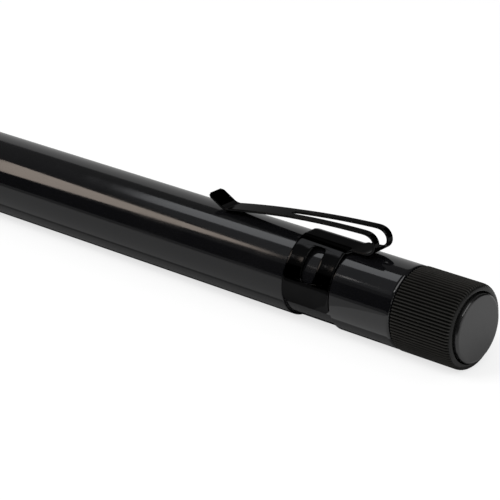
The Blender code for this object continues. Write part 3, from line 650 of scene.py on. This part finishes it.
cap_around = knurl_count * knurl_steps
cap_plain = outline(
    (rim_start, cap_radius), (cap_high.x, cap_radius, cap_rim_round),
    (cap_high.x, cap_hole, cap_hole_edge), (cap_high.x - cap_lip, cap_hole, fine_edge),
    (cap_high.x - cap_lip, cap_bore), (cap_front, cap_bore, cap_front_edges[0]),
    (cap_front, cap_radius - knurl_depth, cap_front_edges[1]))
knurl_along = np.linspace(knurl_front, rim_start, knurl_rows)[:-1]
knurl_line = np.stack([knurl_along, np.full(len(knurl_along), cap_radius)], axis=1)
cap_shape = np.concatenate([cap_plain, knurl_line])
knurl_reach = np.clip((knurl_rear + knurl_run_out - cap_shape[:, :1]) / knurl_run_out, 0.0, 1.0)
knurl_wave = 0.5 - 0.5 * np.cos(math.tau * knurl_count * np.arange(cap_around) / cap_around)
knurled = (cap_shape[:, 1:] > cap_bore + 0.0003) & (cap_shape[:, :1] >= knurl_front)
cap_relief = np.where(knurled, -knurl_depth * knurl_reach * knurl_wave, 0.0)
cap_outside = (cap_shape[:, 1:] > cap_hole + 0.00005) & (cap_shape[:, :1] >= rim_start) | knurled
cap_crest = np.where(cap_outside, 1 + cap_relief / knurl_depth, 0.0)
dress(turned("cap_sleeve", cap_shape, barrel_spindle, cap_around, cap_relief, {"crest": cap_crest}),
      matt_black(), "tail_cap", "cap_black", "tail_cap")

# Push button: a smooth charcoal moulding that fills the cap's hole and stands a little proud.
# Its flange catches under the cap's lip, and its stem reaches down to the switch.
button_low, button_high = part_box("push_button")
button_play = 0.00029
button_radius = cap_hole - button_play
button_flange_radius = cap_bore - seat_gap / 2
button_flange_front = cap_high.x - cap_lip - seat_gap
button_flange = 0.0012
button_stem = 0.002
button_edge = 0.00056


def button_satin():
    """Fine satin moulding, smoothed in the middle by the thumb."""
    made, place = new_finish("button_satin", {"IOR": 1.5})
    thumb = place.grain(0.005, 3.0)
    return feed(made, {
        "Base Color": thumb.tint((0.006, 0.006, 0.006), (0.009, 0.009, 0.009)),
        "Roughness": 0.12 + 0.1 * thumb,
        "Normal": place.grain(0.0002, 1.0).dents(0.000002),
    })


button_line = outline(
    (button_low.x, 0.0), (button_low.x, button_stem, break_edge),
    (button_flange_front - button_flange, button_stem),
    (button_flange_front - button_flange, button_flange_radius, fine_edge),
    (button_flange_front, button_flange_radius, fine_edge), (button_flange_front, button_radius),
    (button_high.x, button_radius, button_edge), (button_high.x, 0.0))
dress(turned("button_top", button_line, barrel_spindle, 200), button_satin(),
      "button", "button_grey", "push_button")

# Pocket clip: one strip of blackened spring steel, stamped with its windows and slot and then folded.
# The split band snaps into the barrel's groove under a flat strip, which runs on over the land, turns
# back in a half-round bend and springs over the barrel as two rails and a raised tip.
clip_hinge = np.array(next(j["pos_m"] for j in frame["joints"] if j["name"] == "clip_flex"))
clip_thickness = 0.0005
clip_play = 0.00006
clip_proud = 0.000048
clip_edge = 0.00009
clip_middle = barrel_radius + clip_proud - clip_thickness / 2
clip_front, clip_rear = groove_front + clip_play, groove_rear - clip_play
strip_height = clip_hinge[2] - barrel_axis[2]
strip_half, bend_half, tip_half = 0.00275, 0.00295, 0.0022
strip_share = np.linspace(0.0, 1.0, 15) ** 1.5
strip_root_half, strip_root_length = 0.0034, 0.0014
clip_wrap = math.radians(110)
rise_foot = math.radians(85)
clip_corner = 0.0012
window_half = 0.00175
window_top, window_foot = math.radians(25), math.radians(75)
window_squareness = 4.0
rail_share = np.linspace(0.0, 1.0, 9)
rail_crown = -0.00004
rail_root, rail_end = 0.00155, 0.00162
leaf_length = clip_hinge[0] - clip_rear + 0.00015
strip_lift, leaf_lift = 0.00014, 0.00042
band_top = strip_height + strip_lift
band_crown, band_ease = 0.00018, 0.00004
bend_radius = 0.00239
bend_end = leaf_length + math.pi * bend_radius
slot_from = leaf_length + bend_radius * math.radians(62)
slot_to = bend_end + 0.0206
slot_round = 0.0008
arm_length = 0.03715
arm_crown = 0.00075
arm_foot = 0.0002
fold_from = bend_end + arm_length
fold_round = 0.001
tip_from = fold_from + 2 * fold_round
tip_end = fold_from + 0.005
tip_corner = 0.001
tip_rise = math.radians(28)


def clip_steel():
    """Blackened spring steel, dark even at a slant, with fine rolling lines under a film of oil."""
    made, place = new_finish("clip_blacking", {"Metallic": 1.0, "Specular Tint": (0.46, 0.46, 0.46, 1.0)})
    oil = place.grain(0.004, 3.0)
    return feed(made, {
        "Base Color": oil.tint((0.013, 0.013, 0.013), (0.018, 0.018, 0.0185)),
        "Roughness": 0.06 + 0.08 * oil,
        "Normal": place.grain((0.006, 0.0004, 0.0004)).dents(0.0000012),
    })


def eased(t):
    """Smooth step from 0 to 1."""
    t = np.clip(t, 0.0, 1.0)
    return t * t * (3 - 2 * t)


def strip_course(s):
    """Side view of the strip, a distance s from its root: lifting leaf, round bend, crowned arm, tip.

    Each place is the mean over fold_round either way, which eases the bend and rounds the fold.
    """
    s = s[..., None] + fold_round * np.linspace(-1.0, 1.0, 9)
    turn = np.clip((s - leaf_length) / bend_radius, 0.0, math.pi) - math.pi / 2
    t = np.clip((s - bend_end) / arm_length, 0.0, 1.0)
    reach = np.maximum(s - fold_from, 0.0)
    leaf = np.clip((s - fold_round) / (leaf_length - fold_round), 0.0, 1.0)
    lift = strip_lift + (leaf_lift - strip_lift) * leaf
    lift *= 1 - eased((turn + math.pi / 2) / math.pi)
    x = (clip_rear + np.minimum(s, leaf_length) + bend_radius * np.cos(turn) - arm_length * t
         - reach * math.cos(tip_rise))
    rise = (bend_radius * (1 + np.sin(turn)) + t * (arm_foot - 2 * bend_radius)
            + 4 * arm_crown * t * (1 - t) + reach * math.sin(tip_rise) + lift)
    return x.mean(axis=-1), rise.mean(axis=-1)


def band_section(angle):
    """Height of the band over the barrel's axis: a ring that eases away from the groove, pressed flat on top.

    Pressing takes off what stands over the flat, d, and (d + e)^2 / 4e where d is within the ease e of 0.
    """
    stand_off = (band_top + band_crown - clip_middle) * eased(1 - np.abs(angle) / rise_foot)
    ring = clip_middle * np.cos(angle) + stand_off
    over = ring - band_top
    near = np.clip(over, -band_ease, band_ease)
    return ring - (near + band_ease) ** 2 / (4 * band_ease) - np.maximum(over - band_ease, 0.0)


def strip_width(s):
    """Half the strip's width: it flares at its root and tapers from the bend to the slot's end."""
    flare = (strip_root_half - strip_half) * (1 - eased(s / strip_root_length))
    return flare + np.interp(s, [0.0, leaf_length, bend_end, slot_to],
                             [strip_half, bend_half, bend_half, tip_half])


def strip_edges():
    """Outer edge and inner edge, which is the slot's or the middle line, as rows of (s, y)."""
    turn = np.linspace(0.0, math.pi / 2, 9)
    even = turn / turn[-1]
    slot_sharp = 2 / 3
    swell, creep = np.sin(turn) ** slot_sharp, 1 - np.cos(turn) ** slot_sharp
    plain = [np.linspace(0.0, slot_from, 27)[:-1],
             np.concatenate([np.linspace(slot_to, fold_from - 2 * fold_round, 22)[1:-1],
                             np.linspace(fold_from - 2 * fold_round, tip_from, 13)[:-1],
                             np.linspace(tip_from, tip_end - tip_corner, 8)[:-1]])]
    slot = np.linspace(slot_from + slot_round, slot_to - slot_round, 62)[1:-1]
    outer_s = np.concatenate([plain[0], slot_from + slot_round * even, slot,
                              slot_to - slot_round * even[::-1], plain[1],
                              tip_end - tip_corner * (1 - np.sin(turn))])
    inner_s = np.concatenate([plain[0], slot_from + slot_round * creep, slot,
                              slot_to - slot_round * creep[::-1], plain[1],
                              tip_end - tip_corner * (1 - even)])
    outer_y = strip_width(outer_s)
    outer_y[-9:] -= tip_corner * (1 - np.cos(turn))
    opened = np.concatenate([0 * plain[0], swell, np.ones_like(slot), swell[::-1], 0 * plain[1], 0 * turn])
    rail = np.interp(inner_s, [slot_from, slot_to], [rail_root, rail_end])
    inner_y = opened * (strip_width(inner_s) - rail)
    return np.stack([outer_s, outer_y], axis=1), np.stack([inner_s, inner_y], axis=1)


def clip_strip():
    """Mid-surface of leaf, bend, arm and tip: two half strips, each between its outer and inner edge."""
    outer, inner = strip_edges()
    flat = outer[:, None] + strip_share[:, None] * (inner - outer)[:, None]
    s, y = flat[..., 0], flat[..., 1]
    x, rise = strip_course(s)
    dip = (1 - eased(s / strip_root_length)) * (band_section(np.arcsin(y / clip_middle)) - band_top)
    return [np.stack([x, barrel_axis[1] + side * y, clip_hinge[2] + rise + dip], axis=2) for side in (1, -1)]


def window_outline(count):
    """Half the window's outline, |a|^n + |b|^n = 1 from its top to its foot, in equal steps."""
    turn = np.linspace(0.0, math.pi, 721)
    power = 2 / window_squareness
    down = np.copysign(np.abs(np.cos(turn)) ** power, -np.cos(turn))
    gap = window_half * np.sin(turn) ** power
    gap[-1] = 0.0
    angle = (window_top + window_foot) / 2 + (window_foot - window_top) / 2 * down
    run = np.concatenate([[0.0], np.cumsum(np.hypot(np.diff(gap), clip_middle * np.diff(angle)))])
    even = np.linspace(0.0, run[-1], count)
    return np.interp(even, run, gap), np.interp(even, run, angle)


def clip_band():
    """Mid-surface of the split band: on each side two rails, front and rear, that part at the window."""
    middle = (clip_front + clip_rear) / 2
    turn = np.linspace(0.0, math.pi / 2, 9)
    bow = clip_corner / clip_middle
    root = np.arcsin(strip_root_half * (1 - strip_share[::-1]) / clip_middle)
    above = np.concatenate([root, np.linspace(root[-1], window_top, 4)[1:-1]])
    below = np.linspace(window_foot, clip_wrap - bow, 10)[1:-1]
    gap, around = window_outline(33)
    shut = np.zeros(len(below) + len(turn))
    gap = np.concatenate([0 * above, gap, shut])
    inner = np.concatenate([above, around, below, clip_wrap - bow * (1 - turn / turn[-1])])
    outer = np.concatenate([above, np.linspace(window_top, window_foot, 33), below,
                            clip_wrap - bow * (1 - np.sin(turn))])
    cut = clip_corner * np.concatenate([np.zeros(len(outer) - len(turn)), 1 - np.cos(turn)])
    angle = outer[:, None] + rail_share * (inner - outer)[:, None]
    bulge = rail_crown * (gap / window_half)[:, None] * 4 * rail_share * (1 - rail_share)
    patches = []
    for way, edge in ((-1, clip_front), (1, clip_rear)):
        start = edge - way * cut
        x = start[:, None] + rail_share * (middle + way * gap - start)[:, None]
        for side in (1, -1):
            patches.append(np.stack([x, barrel_axis[1] + side * (clip_middle + bulge) * np.sin(angle),
                                     barrel_axis[2] + band_section(angle) + bulge * np.cos(angle)], axis=2))
    return patches


def joined_sheet(name, patches):
    """Several grids of points as one sheet; their shared edges are merged."""
    points, cells, start = [], [], 0
    for grid in patches:
        count = grid[..., 0].size
        cells.append(cells_of(start + np.arange(count).reshape(grid.shape[:2])))
        points.append(grid.reshape(-1, 3))
        start += count
    return solid_of(name, np.concatenate(points), np.concatenate(cells))


def settled(piece):
    """Turns a piece's modifiers into its mesh."""
    shape = piece.evaluated_get(bpy.context.evaluated_depsgraph_get())
    piece.data = bpy.data.meshes.new_from_object(shape)
    piece.modifiers.clear()
    return piece


clip = joined_sheet("pocket_clip", clip_strip() + clip_band())
clip_wall = clip.modifiers.new("wall", "SOLIDIFY")
clip_wall.thickness, clip_wall.offset, clip_wall.use_even_offset = clip_thickness, 0.0, True
clip_rounding = clip.modifiers.new("rounding", "BEVEL")
clip_rounding.width, clip_rounding.segments = clip_edge, 2
clip_rounding.limit_method, clip_rounding.angle_limit = "ANGLE", math.radians(60)
clip_rounding.use_clamp_overlap = False
bpy.context.view_layer.update()
settled(clip)
clip.data.shade_smooth()
clip.data.set_sharp_from_angle(angle=math.radians(50))
# The strip flexes where it climbs round its bend, which flex_way measures.
flex_way = np.array((-1.0, 0.0, 12.0))
flex_way /= flex_way @ flex_way
flex_from, flex_to = 0.02, 0.037
bend(clip, clip_steel(), "clip", "clip_arm", clip_hinge + flex_from * flex_way,
     clip_hinge + flex_to * flex_way, "clip_black", "clip_band", "clip_arm")

# Neck: a flexible arm wound from steel wire in one long helix, blackened, that stays as it is bent.
# It is made here in lengths from the middle of one link to the middle of the next, each bending over
# the hinge between them, so the winding runs on unbroken. The lead inside bends with it.
neck_joints = [j for j in frame["joints"] if j["name"].startswith("neck_")]
neck_knots = np.array([j["pos_m"] for j in neck_joints])
neck_pitch = 0.00264
neck_rib_depth, neck_rib_power = 0.0006, 2.5
neck_end_gap = 0.0004
neck_around = 48
neck_rows = 61
neck_wall_step, lead_step = 10, 6
neck_wall_bore = 0.0022
lead_radius = 0.0006
lead_around = 12
lead_start = stud_front - seat_gap
head_cavity = 0.0141


def neck_black():
    """Blackened wound steel: worn towards bare metal in patches on the crests, darker in the grooves than on
    the crests.
    """
    made, place = new_finish("neck_blacking", {"IOR": 1.5})
    crest = place.node("Attribute", {"attribute_name": "crest"}, {}, "Fac")
    rub = place.grain(0.0025, 4.0)
    worn = crest.step(0.9, 1.0) * rub.step(0.55, 0.75)
    return feed(made, {
        "Base Color": (0.6 * worn + 0.2 * crest).tint((0.006, 0.006, 0.0062), (0.05, 0.05, 0.051)),
        "Metallic": 0.5 * worn,
        "Roughness": 0.42 - 0.14 * crest + 0.1 * rub,
        "Normal": place.grain(0.0003).dents(0.000006),
    })


def lead_jacket():
    """Red insulation on the lead, slightly waxy."""
    made, place = new_finish("lead_jacket", {"IOR": 1.45})
    wax = place.grain(0.0015, 3.0)
    return feed(made, {
        "Base Color": wax.tint((0.34, 0.012, 0.012), (0.45, 0.03, 0.025)),
        "Roughness": 0.36 + 0.16 * wax,
        "Normal": wax.dents(0.000008),
    })


def bent_run(start, start_way, end, end_way, count):
    """Cubic curve between two points that leaves and arrives along the given ways, and its heading."""
    reach = np.linalg.norm(end - start) / 3
    a, b = start + reach * start_way, end - reach * end_way
    u = np.linspace(0.0, 1.0, count)[:, None]
    path = (1 - u) ** 3 * start + 3 * u * (1 - u) ** 2 * a + 3 * u ** 2 * (1 - u) * b + u ** 3 * end
    heading = (1 - u) ** 2 * (a - start) + 2 * u * (1 - u) * (b - a) + u ** 2 * (end - b)
    return path, heading


neck_finish, lead_finish = neck_black(), lead_jacket()
link_steps = np.diff(neck_knots, axis=0)
link_ways = link_steps / np.linalg.norm(link_steps, axis=1, keepdims=True)
head_way = link_ways[-1]
link_middles = (neck_knots[:-1] + neck_knots[1:]) / 2
run_ends = np.concatenate([[neck_knots[0] + neck_end_gap * along_x], link_middles,
                           [neck_knots[-1] + neck_end_gap * head_way]])
run_ways = np.concatenate([[-along_x], link_ways, [head_way]])
neck_turn = np.arange(neck_around) / neck_around
wound_so_far = 0.0
for number, joint in enumerate(neck_joints):
    start, end = run_ends[number], run_ends[number + 1]
    path, heading = bent_run(start, run_ways[number], end, run_ways[number + 1], neck_rows)
    run = np.concatenate([[0.0], np.cumsum(np.linalg.norm(np.diff(path, axis=0), axis=1))])
    phase = ((wound_so_far + run[:, None]) / neck_pitch - neck_turn) % 1.0
    wound_so_far += run[-1]
    crest = 1 - np.abs(2 * phase - 1) ** neck_rib_power
    wound = neck_crest - neck_rib_depth * (1 - crest)
    inside = slice(None, None, -neck_wall_step)
    wall = np.full((len(path[inside]), neck_around), neck_wall_bore)
    length = swept(f"neck_length_{number + 1:02d}", np.concatenate([path, path[inside]]),
                   np.concatenate([heading, heading[inside]]), np.concatenate([wound, wall]), neck_around,
                   upright, {"crest": np.concatenate([crest, np.zeros_like(wall)])}, True)
    bodies = joint["parent"], joint["child"]
    at_head = joint["child"] == "head"
    bend(length, neck_finish, *bodies, start, end, "neck_black", *([] if at_head else [joint["child"]]))

    core, core_way = path[::lead_step], heading[::lead_step]
    if number == 0:
        core = np.concatenate([[(lead_start, *barrel_axis[1:])], core])
        core_way = np.concatenate([core_way[:1], core_way])
    if at_head:
        core = np.concatenate([core, [neck_knots[-1] + head_cavity * head_way]])
        core_way = np.concatenate([core_way, core_way[-1:]])
    core_way = np.concatenate([core_way[:1], core_way, core_way[-1:]])
    core, core_size = capped(core, lead_radius)
    strand = swept(f"lead_length_{number + 1:02d}", core, core_way, core_size * np.ones(lead_around),
                   lead_around, upright)
    bend(strand, lead_finish, *bodies, start, end, "lead", *(["neck_lead"] if number == 0 else []))

# Head ferrule: the steel collar at the neck's front end, pressed into the lamp head.
# It is turned like the one in the nose.
head_up = upright - (upright @ head_way) * head_way
head_up /= np.linalg.norm(head_up)
head_spindle = (neck_knots[-1], head_way, head_up)
shell_back = 0.006
stem_depth = 0.006
stem_radius = 0.0033
head_collar_front = shell_back - seat_gap
head_ferrule_line = outline(
    *collar_line(neck_end_gap, head_collar_front, ferrule_radius, neck_bore)[:-1],
    (head_collar_front, stem_radius), (shell_back + stem_depth, stem_radius, fine_edge),
    (shell_back + stem_depth, neck_bore))
dress(turned("head_collar", head_ferrule_line, head_spindle), turned_steel("head_ferrule_satin", head_way),
      "head", "ferrule_steel", "head_ferrule")

# Head shell: the lamp's housing, turned from aluminium with three cooling grooves and anodised black.
# The ferrule is pressed into its back, and the bezel screws over its front.
head_radius = 0.00618
shell_taper = 0.006
shell_body = 0.006
shell_thread = 0.007
bezel_bore = head_radius - 0.0005
shell_thread_radius = bezel_bore - seat_gap
cavity_radius = shell_thread_radius - 0.0009
shell_socket = shell_back + stem_depth + seat_gap
shell_shoulder = shell_back + shell_taper + shell_body
shell_front = shell_shoulder + shell_thread
fin_count = 3
fin_pitch = 0.0018
fin_floor, fin_root = head_radius - 0.0007, 0.00015
shell_round = 0.0008
fins = []
for fin in range(fin_count, 0, -1):
    groove = shell_shoulder - fin * fin_pitch
    start, end = groove - fin_pitch / 4, groove + fin_pitch / 4
    fins += [(start, head_radius, fine_edge), (start, fin_floor, fin_root),
             (end, fin_floor, fin_root), (end, head_radius, fine_edge)]
shell_line = outline(
    (shell_back, stem_radius + seat_gap), (shell_back, ferrule_radius, break_edge),
    (shell_back + shell_taper, head_radius, shell_round), *fins, (shell_shoulder, head_radius, fine_edge),
    (shell_shoulder, shell_thread_radius), (shell_front, shell_thread_radius, fine_edge),
    (shell_front, cavity_radius, fine_edge), (head_cavity, cavity_radius),
    (head_cavity, lead_radius + seat_gap), (shell_socket, lead_radius + seat_gap),
    (shell_socket, stem_radius + seat_gap))
dress(turned("head_housing", shell_line, head_spindle), gloss, "head", "barrel_black", "head_shell")

# Lamp: a white circuit board at the back of the head and a domed diode with a yellow phosphor.
# The board is pressed against the shell, which carries its heat away.
board_back = head_cavity + seat_gap
board_front = board_back + 0.0012
board_radius = cavity_radius - seat_gap
diode_back = board_front + seat_gap
diode_radius = 0.0013
diode_base = 0.0006


def board_mask():
    """White solder mask with faint raised copper under it."""
    made, place = new_finish("board_mask", {"IOR": 1.5})
    copper = place.grain(0.0009, 1.0).step(0.48, 0.52)
    return feed(made, {
        "Base Color": copper.tint((0.72, 0.73, 0.71), (0.8, 0.8, 0.77)),
        "Roughness": 0.32 + 0.1 * copper,
        "Normal": copper.dents(0.00002),
    })


def phosphor():
    """Yellow phosphor under a clear silicone dome, a little cloudy."""
    made, place = new_finish("diode_phosphor", {"IOR": 1.41, "Coat Roughness": 0.05})
    cloud = place.grain(0.0005, 3.0)
    return feed(made, {
        "Base Color": cloud.tint((0.86, 0.66, 0.16), (0.92, 0.8, 0.34)),
        "Roughness": 0.3 + 0.15 * cloud,
        "Coat Weight": 0.8 + 0.2 * cloud,
    })


board_line = disc_line(board_back, board_front, board_radius)
dome = np.linspace(0.0, math.pi / 2, 16)
diode_line = np.concatenate([
    [(diode_back, 0.0), (diode_back, diode_radius)],
    np.stack([diode_back + diode_base + diode_radius * np.sin(dome), diode_radius * np.cos(dome)], axis=1)])
dress(turned("lamp_board", board_line, head_spindle, 96), board_mask(), "head", "board", "led_board")
dress(turned("lamp_diode", diode_line, head_spindle, 64), phosphor(), "head", "led", "led_emitter")

# Reflector: a thin plated cup round the diode that throws the light forwards.
# It drops into the shell, and the lens holds it down through the seal.
cup_front = shell_front - seat_gap
cup_throat = diode_radius + seat_gap
cup_wall = 0.0004


def plated():
    """Bright plating with a faint orange peel."""
    made, place = new_finish("cup_plating", {"Metallic": 1.0})
    peel = place.grain(0.0007)
    return feed(made, {
        "Base Color": peel.tint((0.82, 0.82, 0.83), (0.9, 0.9, 0.9)),
        "Roughness": 0.04 + 0.06 * peel,
        "Normal": peel.dents(0.000008),
    })


bowl = np.linspace(1.0, 0.0, 40)
bowl_line = np.stack([diode_back + bowl * (cup_front - diode_back),
                      cup_throat + np.sqrt(bowl) * (board_radius - cup_wall - cup_throat)], axis=1)
cup_line = np.concatenate([
    [(diode_back, cup_throat + cup_wall), (diode_back + cup_wall, board_radius), (cup_front, board_radius)],
    bowl_line])
dress(turned("reflector_cup", cup_line, head_spindle), plated(), "head", "reflector", "reflector")

# Lens and its seal: a flat clear disc on a thin rubber ring.
# The bezel presses both against the shell's front edge.
lens_seal_wire = 0.0003
lens_back = shell_front + 2 * seat_gap + 2 * lens_seal_wire
lens_front = lens_back + 0.0012
lens_radius = bezel_bore - seat_gap
lens_seal_radius = (shell_thread_radius + cavity_radius) / 2


def lens_clear():
    """Clear polycarbonate with faint wiping marks."""
    made, place = new_finish("lens_plastic", {"IOR": 1.5, "Transmission Weight": 1.0})
    wiped = place.grain(0.0025, 4.0)
    return feed(made, {
        "Base Color": wiped.tint((0.97, 0.98, 0.98), (0.93, 0.95, 0.96)),
        "Roughness": 0.01 + 0.04 * wiped.step(0.5, 0.8),
    })


lens_line = disc_line(lens_back, lens_front, lens_radius)
lens_seal_line = ring_line(shell_front + seat_gap + lens_seal_wire, lens_seal_radius, lens_seal_wire)
dress(turned("lens_disc", lens_line, head_spindle, 120), lens_clear(), "head", "lens_clear", "lens")
dress(turned("lens_seal", lens_seal_line, head_spindle), rubber, "head", "rubber_seal", "lens_o_ring")

# Bezel: a plain black ring, turned from aluminium and anodised like the shell that it screws over.
# Its inward lip holds the lens.
bezel_back = shell_shoulder + seat_gap
bezel_lip = lens_front + seat_gap
bezel_front = bezel_lip + 0.00129
bezel_hole = head_radius - 0.0018
bezel_edge = 0.0005
bezel_line = outline(
    (bezel_back, bezel_bore), (bezel_back, head_radius, break_edge), (bezel_front, head_radius, bezel_edge),
    (bezel_front, bezel_hole, break_edge), (bezel_lip, bezel_hole), (bezel_lip, bezel_bore))
dress(turned("bezel_ring", bezel_line, head_spindle), gloss, "head", "barrel_black", "lens_bezel")

# Studio: a pale floor that keeps the light's shadow, a white surround and two soft lamps.
# Dark flags, glowing cards and a table top are seen only in the gloss, as in a studio set for black
# goods. Darker strips on that table under the light are painted shade for its contact shadow, and the
# camera stands where the photograph was taken.
button_face = np.array((button_high.x, *barrel_axis[1:]))
white, black, pale_blue = (1.0, 1.0, 1.0), (0.0, 0.0, 0.0), (0.95, 0.97, 1.0)
flag_height, card_height, glow_height = 0.52, 0.5, 0.505
table_height = 0.0002 - button_face[2]
painted_shade_height, painted_contact_shadow_height = table_height + 0.0001, table_height + 0.0002
left_end, right_end = -2.5, 1.5
paper_end, back_end = -0.038, -0.25
floor_reach = 6.0
lamp_target, lamp_size = (0.05, 0.03, 0.01), 0.9


def studio_tree(holder, name):
    """Empties a holder's nodes; returns its tree, its output and a rule, 1 where the background shows."""
    holder.use_nodes = True
    tree = holder.node_tree
    tree.nodes.clear()
    output = tree.nodes.new("ShaderNodeOutput" + name)
    rays = tree.nodes.new("ShaderNodeLightPath")
    seen = [Tone(rays.outputs[f"Is {kind} Ray"]) for kind in ("Camera", "Glossy", "Transmission")]
    return tree, output, (seen[0] + seen[1] + seen[2]).step(0.0, 1.0)


def studio_floor():
    """Pale paper: mostly even white to the eye and in the gloss, the rest lit, so shadows stay."""
    made = bpy.data.materials.new("floor_paper")
    tree, output, seen = studio_tree(made, "Material")
    paper = seen.node("BsdfDiffuse", {}, {"Color": (0.8, 0.8, 0.8, 1.0)})
    shaded = seen.node("BsdfDiffuse", {}, {"Color": (0.3, 0.3, 0.3, 1.0)})
    even = seen.node("Emission", {}, {"Color": (*white, 1.0), "Strength": 0.72})
    bright = seen.node("AddShader", {}, {0: shaded, 1: even})
    mixed = seen.node("MixShader", {}, {0: seen, 1: paper, 2: bright})
    tree.links.new(mixed.socket, output.inputs["Surface"])
    return made


def studio_world():
    """White surround: full white to the eye and in the gloss, softer as a light."""
    world = bpy.data.worlds.new("surround")
    tree, output, seen = studio_tree(world, "World")
    around = seen.node("Background", {}, {"Color": (*white, 1.0), "Strength": seen * 0.5 + 0.5})
    tree.links.new(around.socket, output.inputs["Surface"])
    bpy.context.scene.world = world


def flat_panel(name, corners, finish):
    """A flat four-sided panel that isn't part of the light."""
    mesh = bpy.data.meshes.new(name)
    mesh.from_pydata(corners, [], [(0, 1, 2, 3)])
    mesh.materials.append(finish)
    panel = bpy.data.objects.new(name, mesh)
    bpy.context.scene.collection.objects.link(panel)
    return panel


def card_finish(name, colour, strength=None):
    """An even card that glows, or, with no strength, plain paint that is lit and shaded."""
    made = bpy.data.materials.new(name)
    tree, output, seen = studio_tree(made, "Material")
    if strength is None:
        face = seen.node("BsdfDiffuse", {}, {"Color": (*colour, 1.0)})
    else:
        face = seen.node("Emission", {}, {"Color": (*colour, 1.0), "Strength": strength})
    tree.links.new(face.socket, output.inputs["Surface"])
    return made


def table_paint(name, grey):
    """Plain grey paint."""
    return card_finish(name, (grey, grey, grey))


def level(front, back, height, left=left_end, right=right_end):
    """Corners of a level card, which runs past both ends of the light unless it is told where to end."""
    return [(left, front, height), (right, front, height), (right, back, height), (left, back, height)]


def wall(y, low, high, left=left_end, right=right_end):
    """Corners of an upright card across the view."""
    return [(left, y, low), (right, y, low), (right, y, high), (left, y, high)]


def slanting(*corners):
    """Corners of a level card at the cards' height, given one by one."""
    return [(*corner, card_height) for corner in corners]


def aim_from(thing, place, target):
    """Puts a lamp or camera at a place, level, looking at the target."""
    back = (place - target) / np.linalg.norm(place - target)
    right = np.cross(upright, back)
    right /= np.linalg.norm(right)
    turn = np.identity(4)
    turn[:3, 0], turn[:3, 1], turn[:3, 2], turn[:3, 3] = right, np.cross(back, right), back, place
    thing.matrix_world = turn.T.tolist()


flat_panel("floor", [(-floor_reach, -floor_reach, 0.0), (floor_reach, -floor_reach, 0.0),
                     (floor_reach, floor_reach, 0.0), (-floor_reach, floor_reach, 0.0)], studio_floor())
studio_world()
black_cloth = card_finish("black_cloth", black, 0.0)
front_slope = level(-1.5, 0.0, flag_height)[:2] + level(back_end, 0.0, table_height)[1::-1]
for name, corners, finish in (
        ("near_flag", level(-0.85, 0.45, flag_height), card_finish("grey_cloth", white, 0.1)),
        ("far_flag", level(-1.5, -0.85, flag_height), black_cloth),
        ("front_flag", front_slope, black_cloth),
        ("table_edge", level(-0.25, -0.065, table_height), table_paint("table_edge_grey", 0.17)),
        ("table", level(-0.065, 1.0, table_height, left_end, paper_end), table_paint("table_grey", 0.5)),
        ("paper", level(-0.065, 1.0, table_height, paper_end), table_paint("paper_white", 0.82)),
        # Painted shade: a thin dark line, a dark strip and a near-black strip on the table right under the
        # light, seen only in the gloss, stand in for its contact shadow.
        ("mat_line", level(-0.0096, -0.0086, painted_shade_height, left_end, paper_end),
         table_paint("mat_line_grey", 0.15)),
        ("mat", level(-0.0086, 0.05, painted_shade_height, left_end, 0.0), table_paint("mat_grey", 0.27)),
        ("contact", level(-0.0045, 0.02, painted_contact_shadow_height, left_end, -0.02), table_paint("contact_grey", 0.05)),
        ("back_card", wall(1.0, table_height, 1.5, left_end, back_end),
         card_finish("back_paper", white, 0.5)),
        ("back_flag", wall(1.0, table_height, 1.5, back_end), black_cloth),
        ("warm_card", slanting((-0.515, -0.391), (-0.551, -0.48), (-1.06, -0.84), (-0.645, -0.23)),
         card_finish("warm_paper", (1.0, 0.86, 0.75), 4.3)),
        ("glint_card", slanting((-0.458, -0.4), (-0.452, -0.4), (-0.484, -0.47), (-0.49, -0.47)),
         card_finish("glint_paper", (1.0, 0.97, 0.94), 6.0)),
        ("pale_card", level(-0.085, 0.11, card_height, -0.5, -0.3),
         card_finish("pale_paper", pale_blue, 1.8)),
        ("glow_card", level(-0.6, -0.085, glow_height, -0.53, -0.3),
         card_finish("glow_paper", pale_blue, 0.25)),
        ("edge_card", level(-0.42, -0.35, card_height, 0.04, 0.2), card_finish("edge_paper", white, 10.0)),
        ("top_card", level(-0.32, 0.1, card_height, 0.04, 0.6), card_finish("top_paper", white, 2.8))):
    card = flat_panel(name, [tuple(button_face + corner) for corner in corners], finish)
    card.visible_camera = card.visible_diffuse = card.visible_shadow = card.visible_transmission = False
for name, place, power in (("key_lamp", (-0.6, -0.9, 1.2), 14.0), ("fill_lamp", (0.9, -0.5, 0.9), 7.0)):
    lamp = bpy.data.lights.new(name, "AREA")
    lamp.shape, lamp.size, lamp.energy = "SQUARE", lamp_size, power
    held = bpy.data.objects.new(name, lamp)
    bpy.context.scene.collection.objects.link(held)
    aim_from(held, np.array(place), np.array(lamp_target))
    held.visible_glossy = False

camera_from_face = np.array((0.2091, -0.3136, 0.1726))
camera_azimuth = math.radians(40.38)
camera_height = math.radians(22.64)
camera_back = np.array((math.sin(camera_azimuth) * math.cos(camera_height),
                        -math.cos(camera_azimuth) * math.cos(camera_height), math.sin(camera_height)))
lens = bpy.data.cameras.new("camera")
lens.sensor_width, lens.lens = 36.0, 154.63
lens.clip_start, lens.clip_end = 0.01, 50.0
camera = bpy.data.objects.new("camera", lens)
bpy.context.scene.collection.objects.link(camera)
aim_from(camera, button_face + camera_from_face, button_face + camera_from_face - camera_back)
bpy.context.scene.camera = camera
bpy.context.scene.view_settings.view_transform = "Standard"
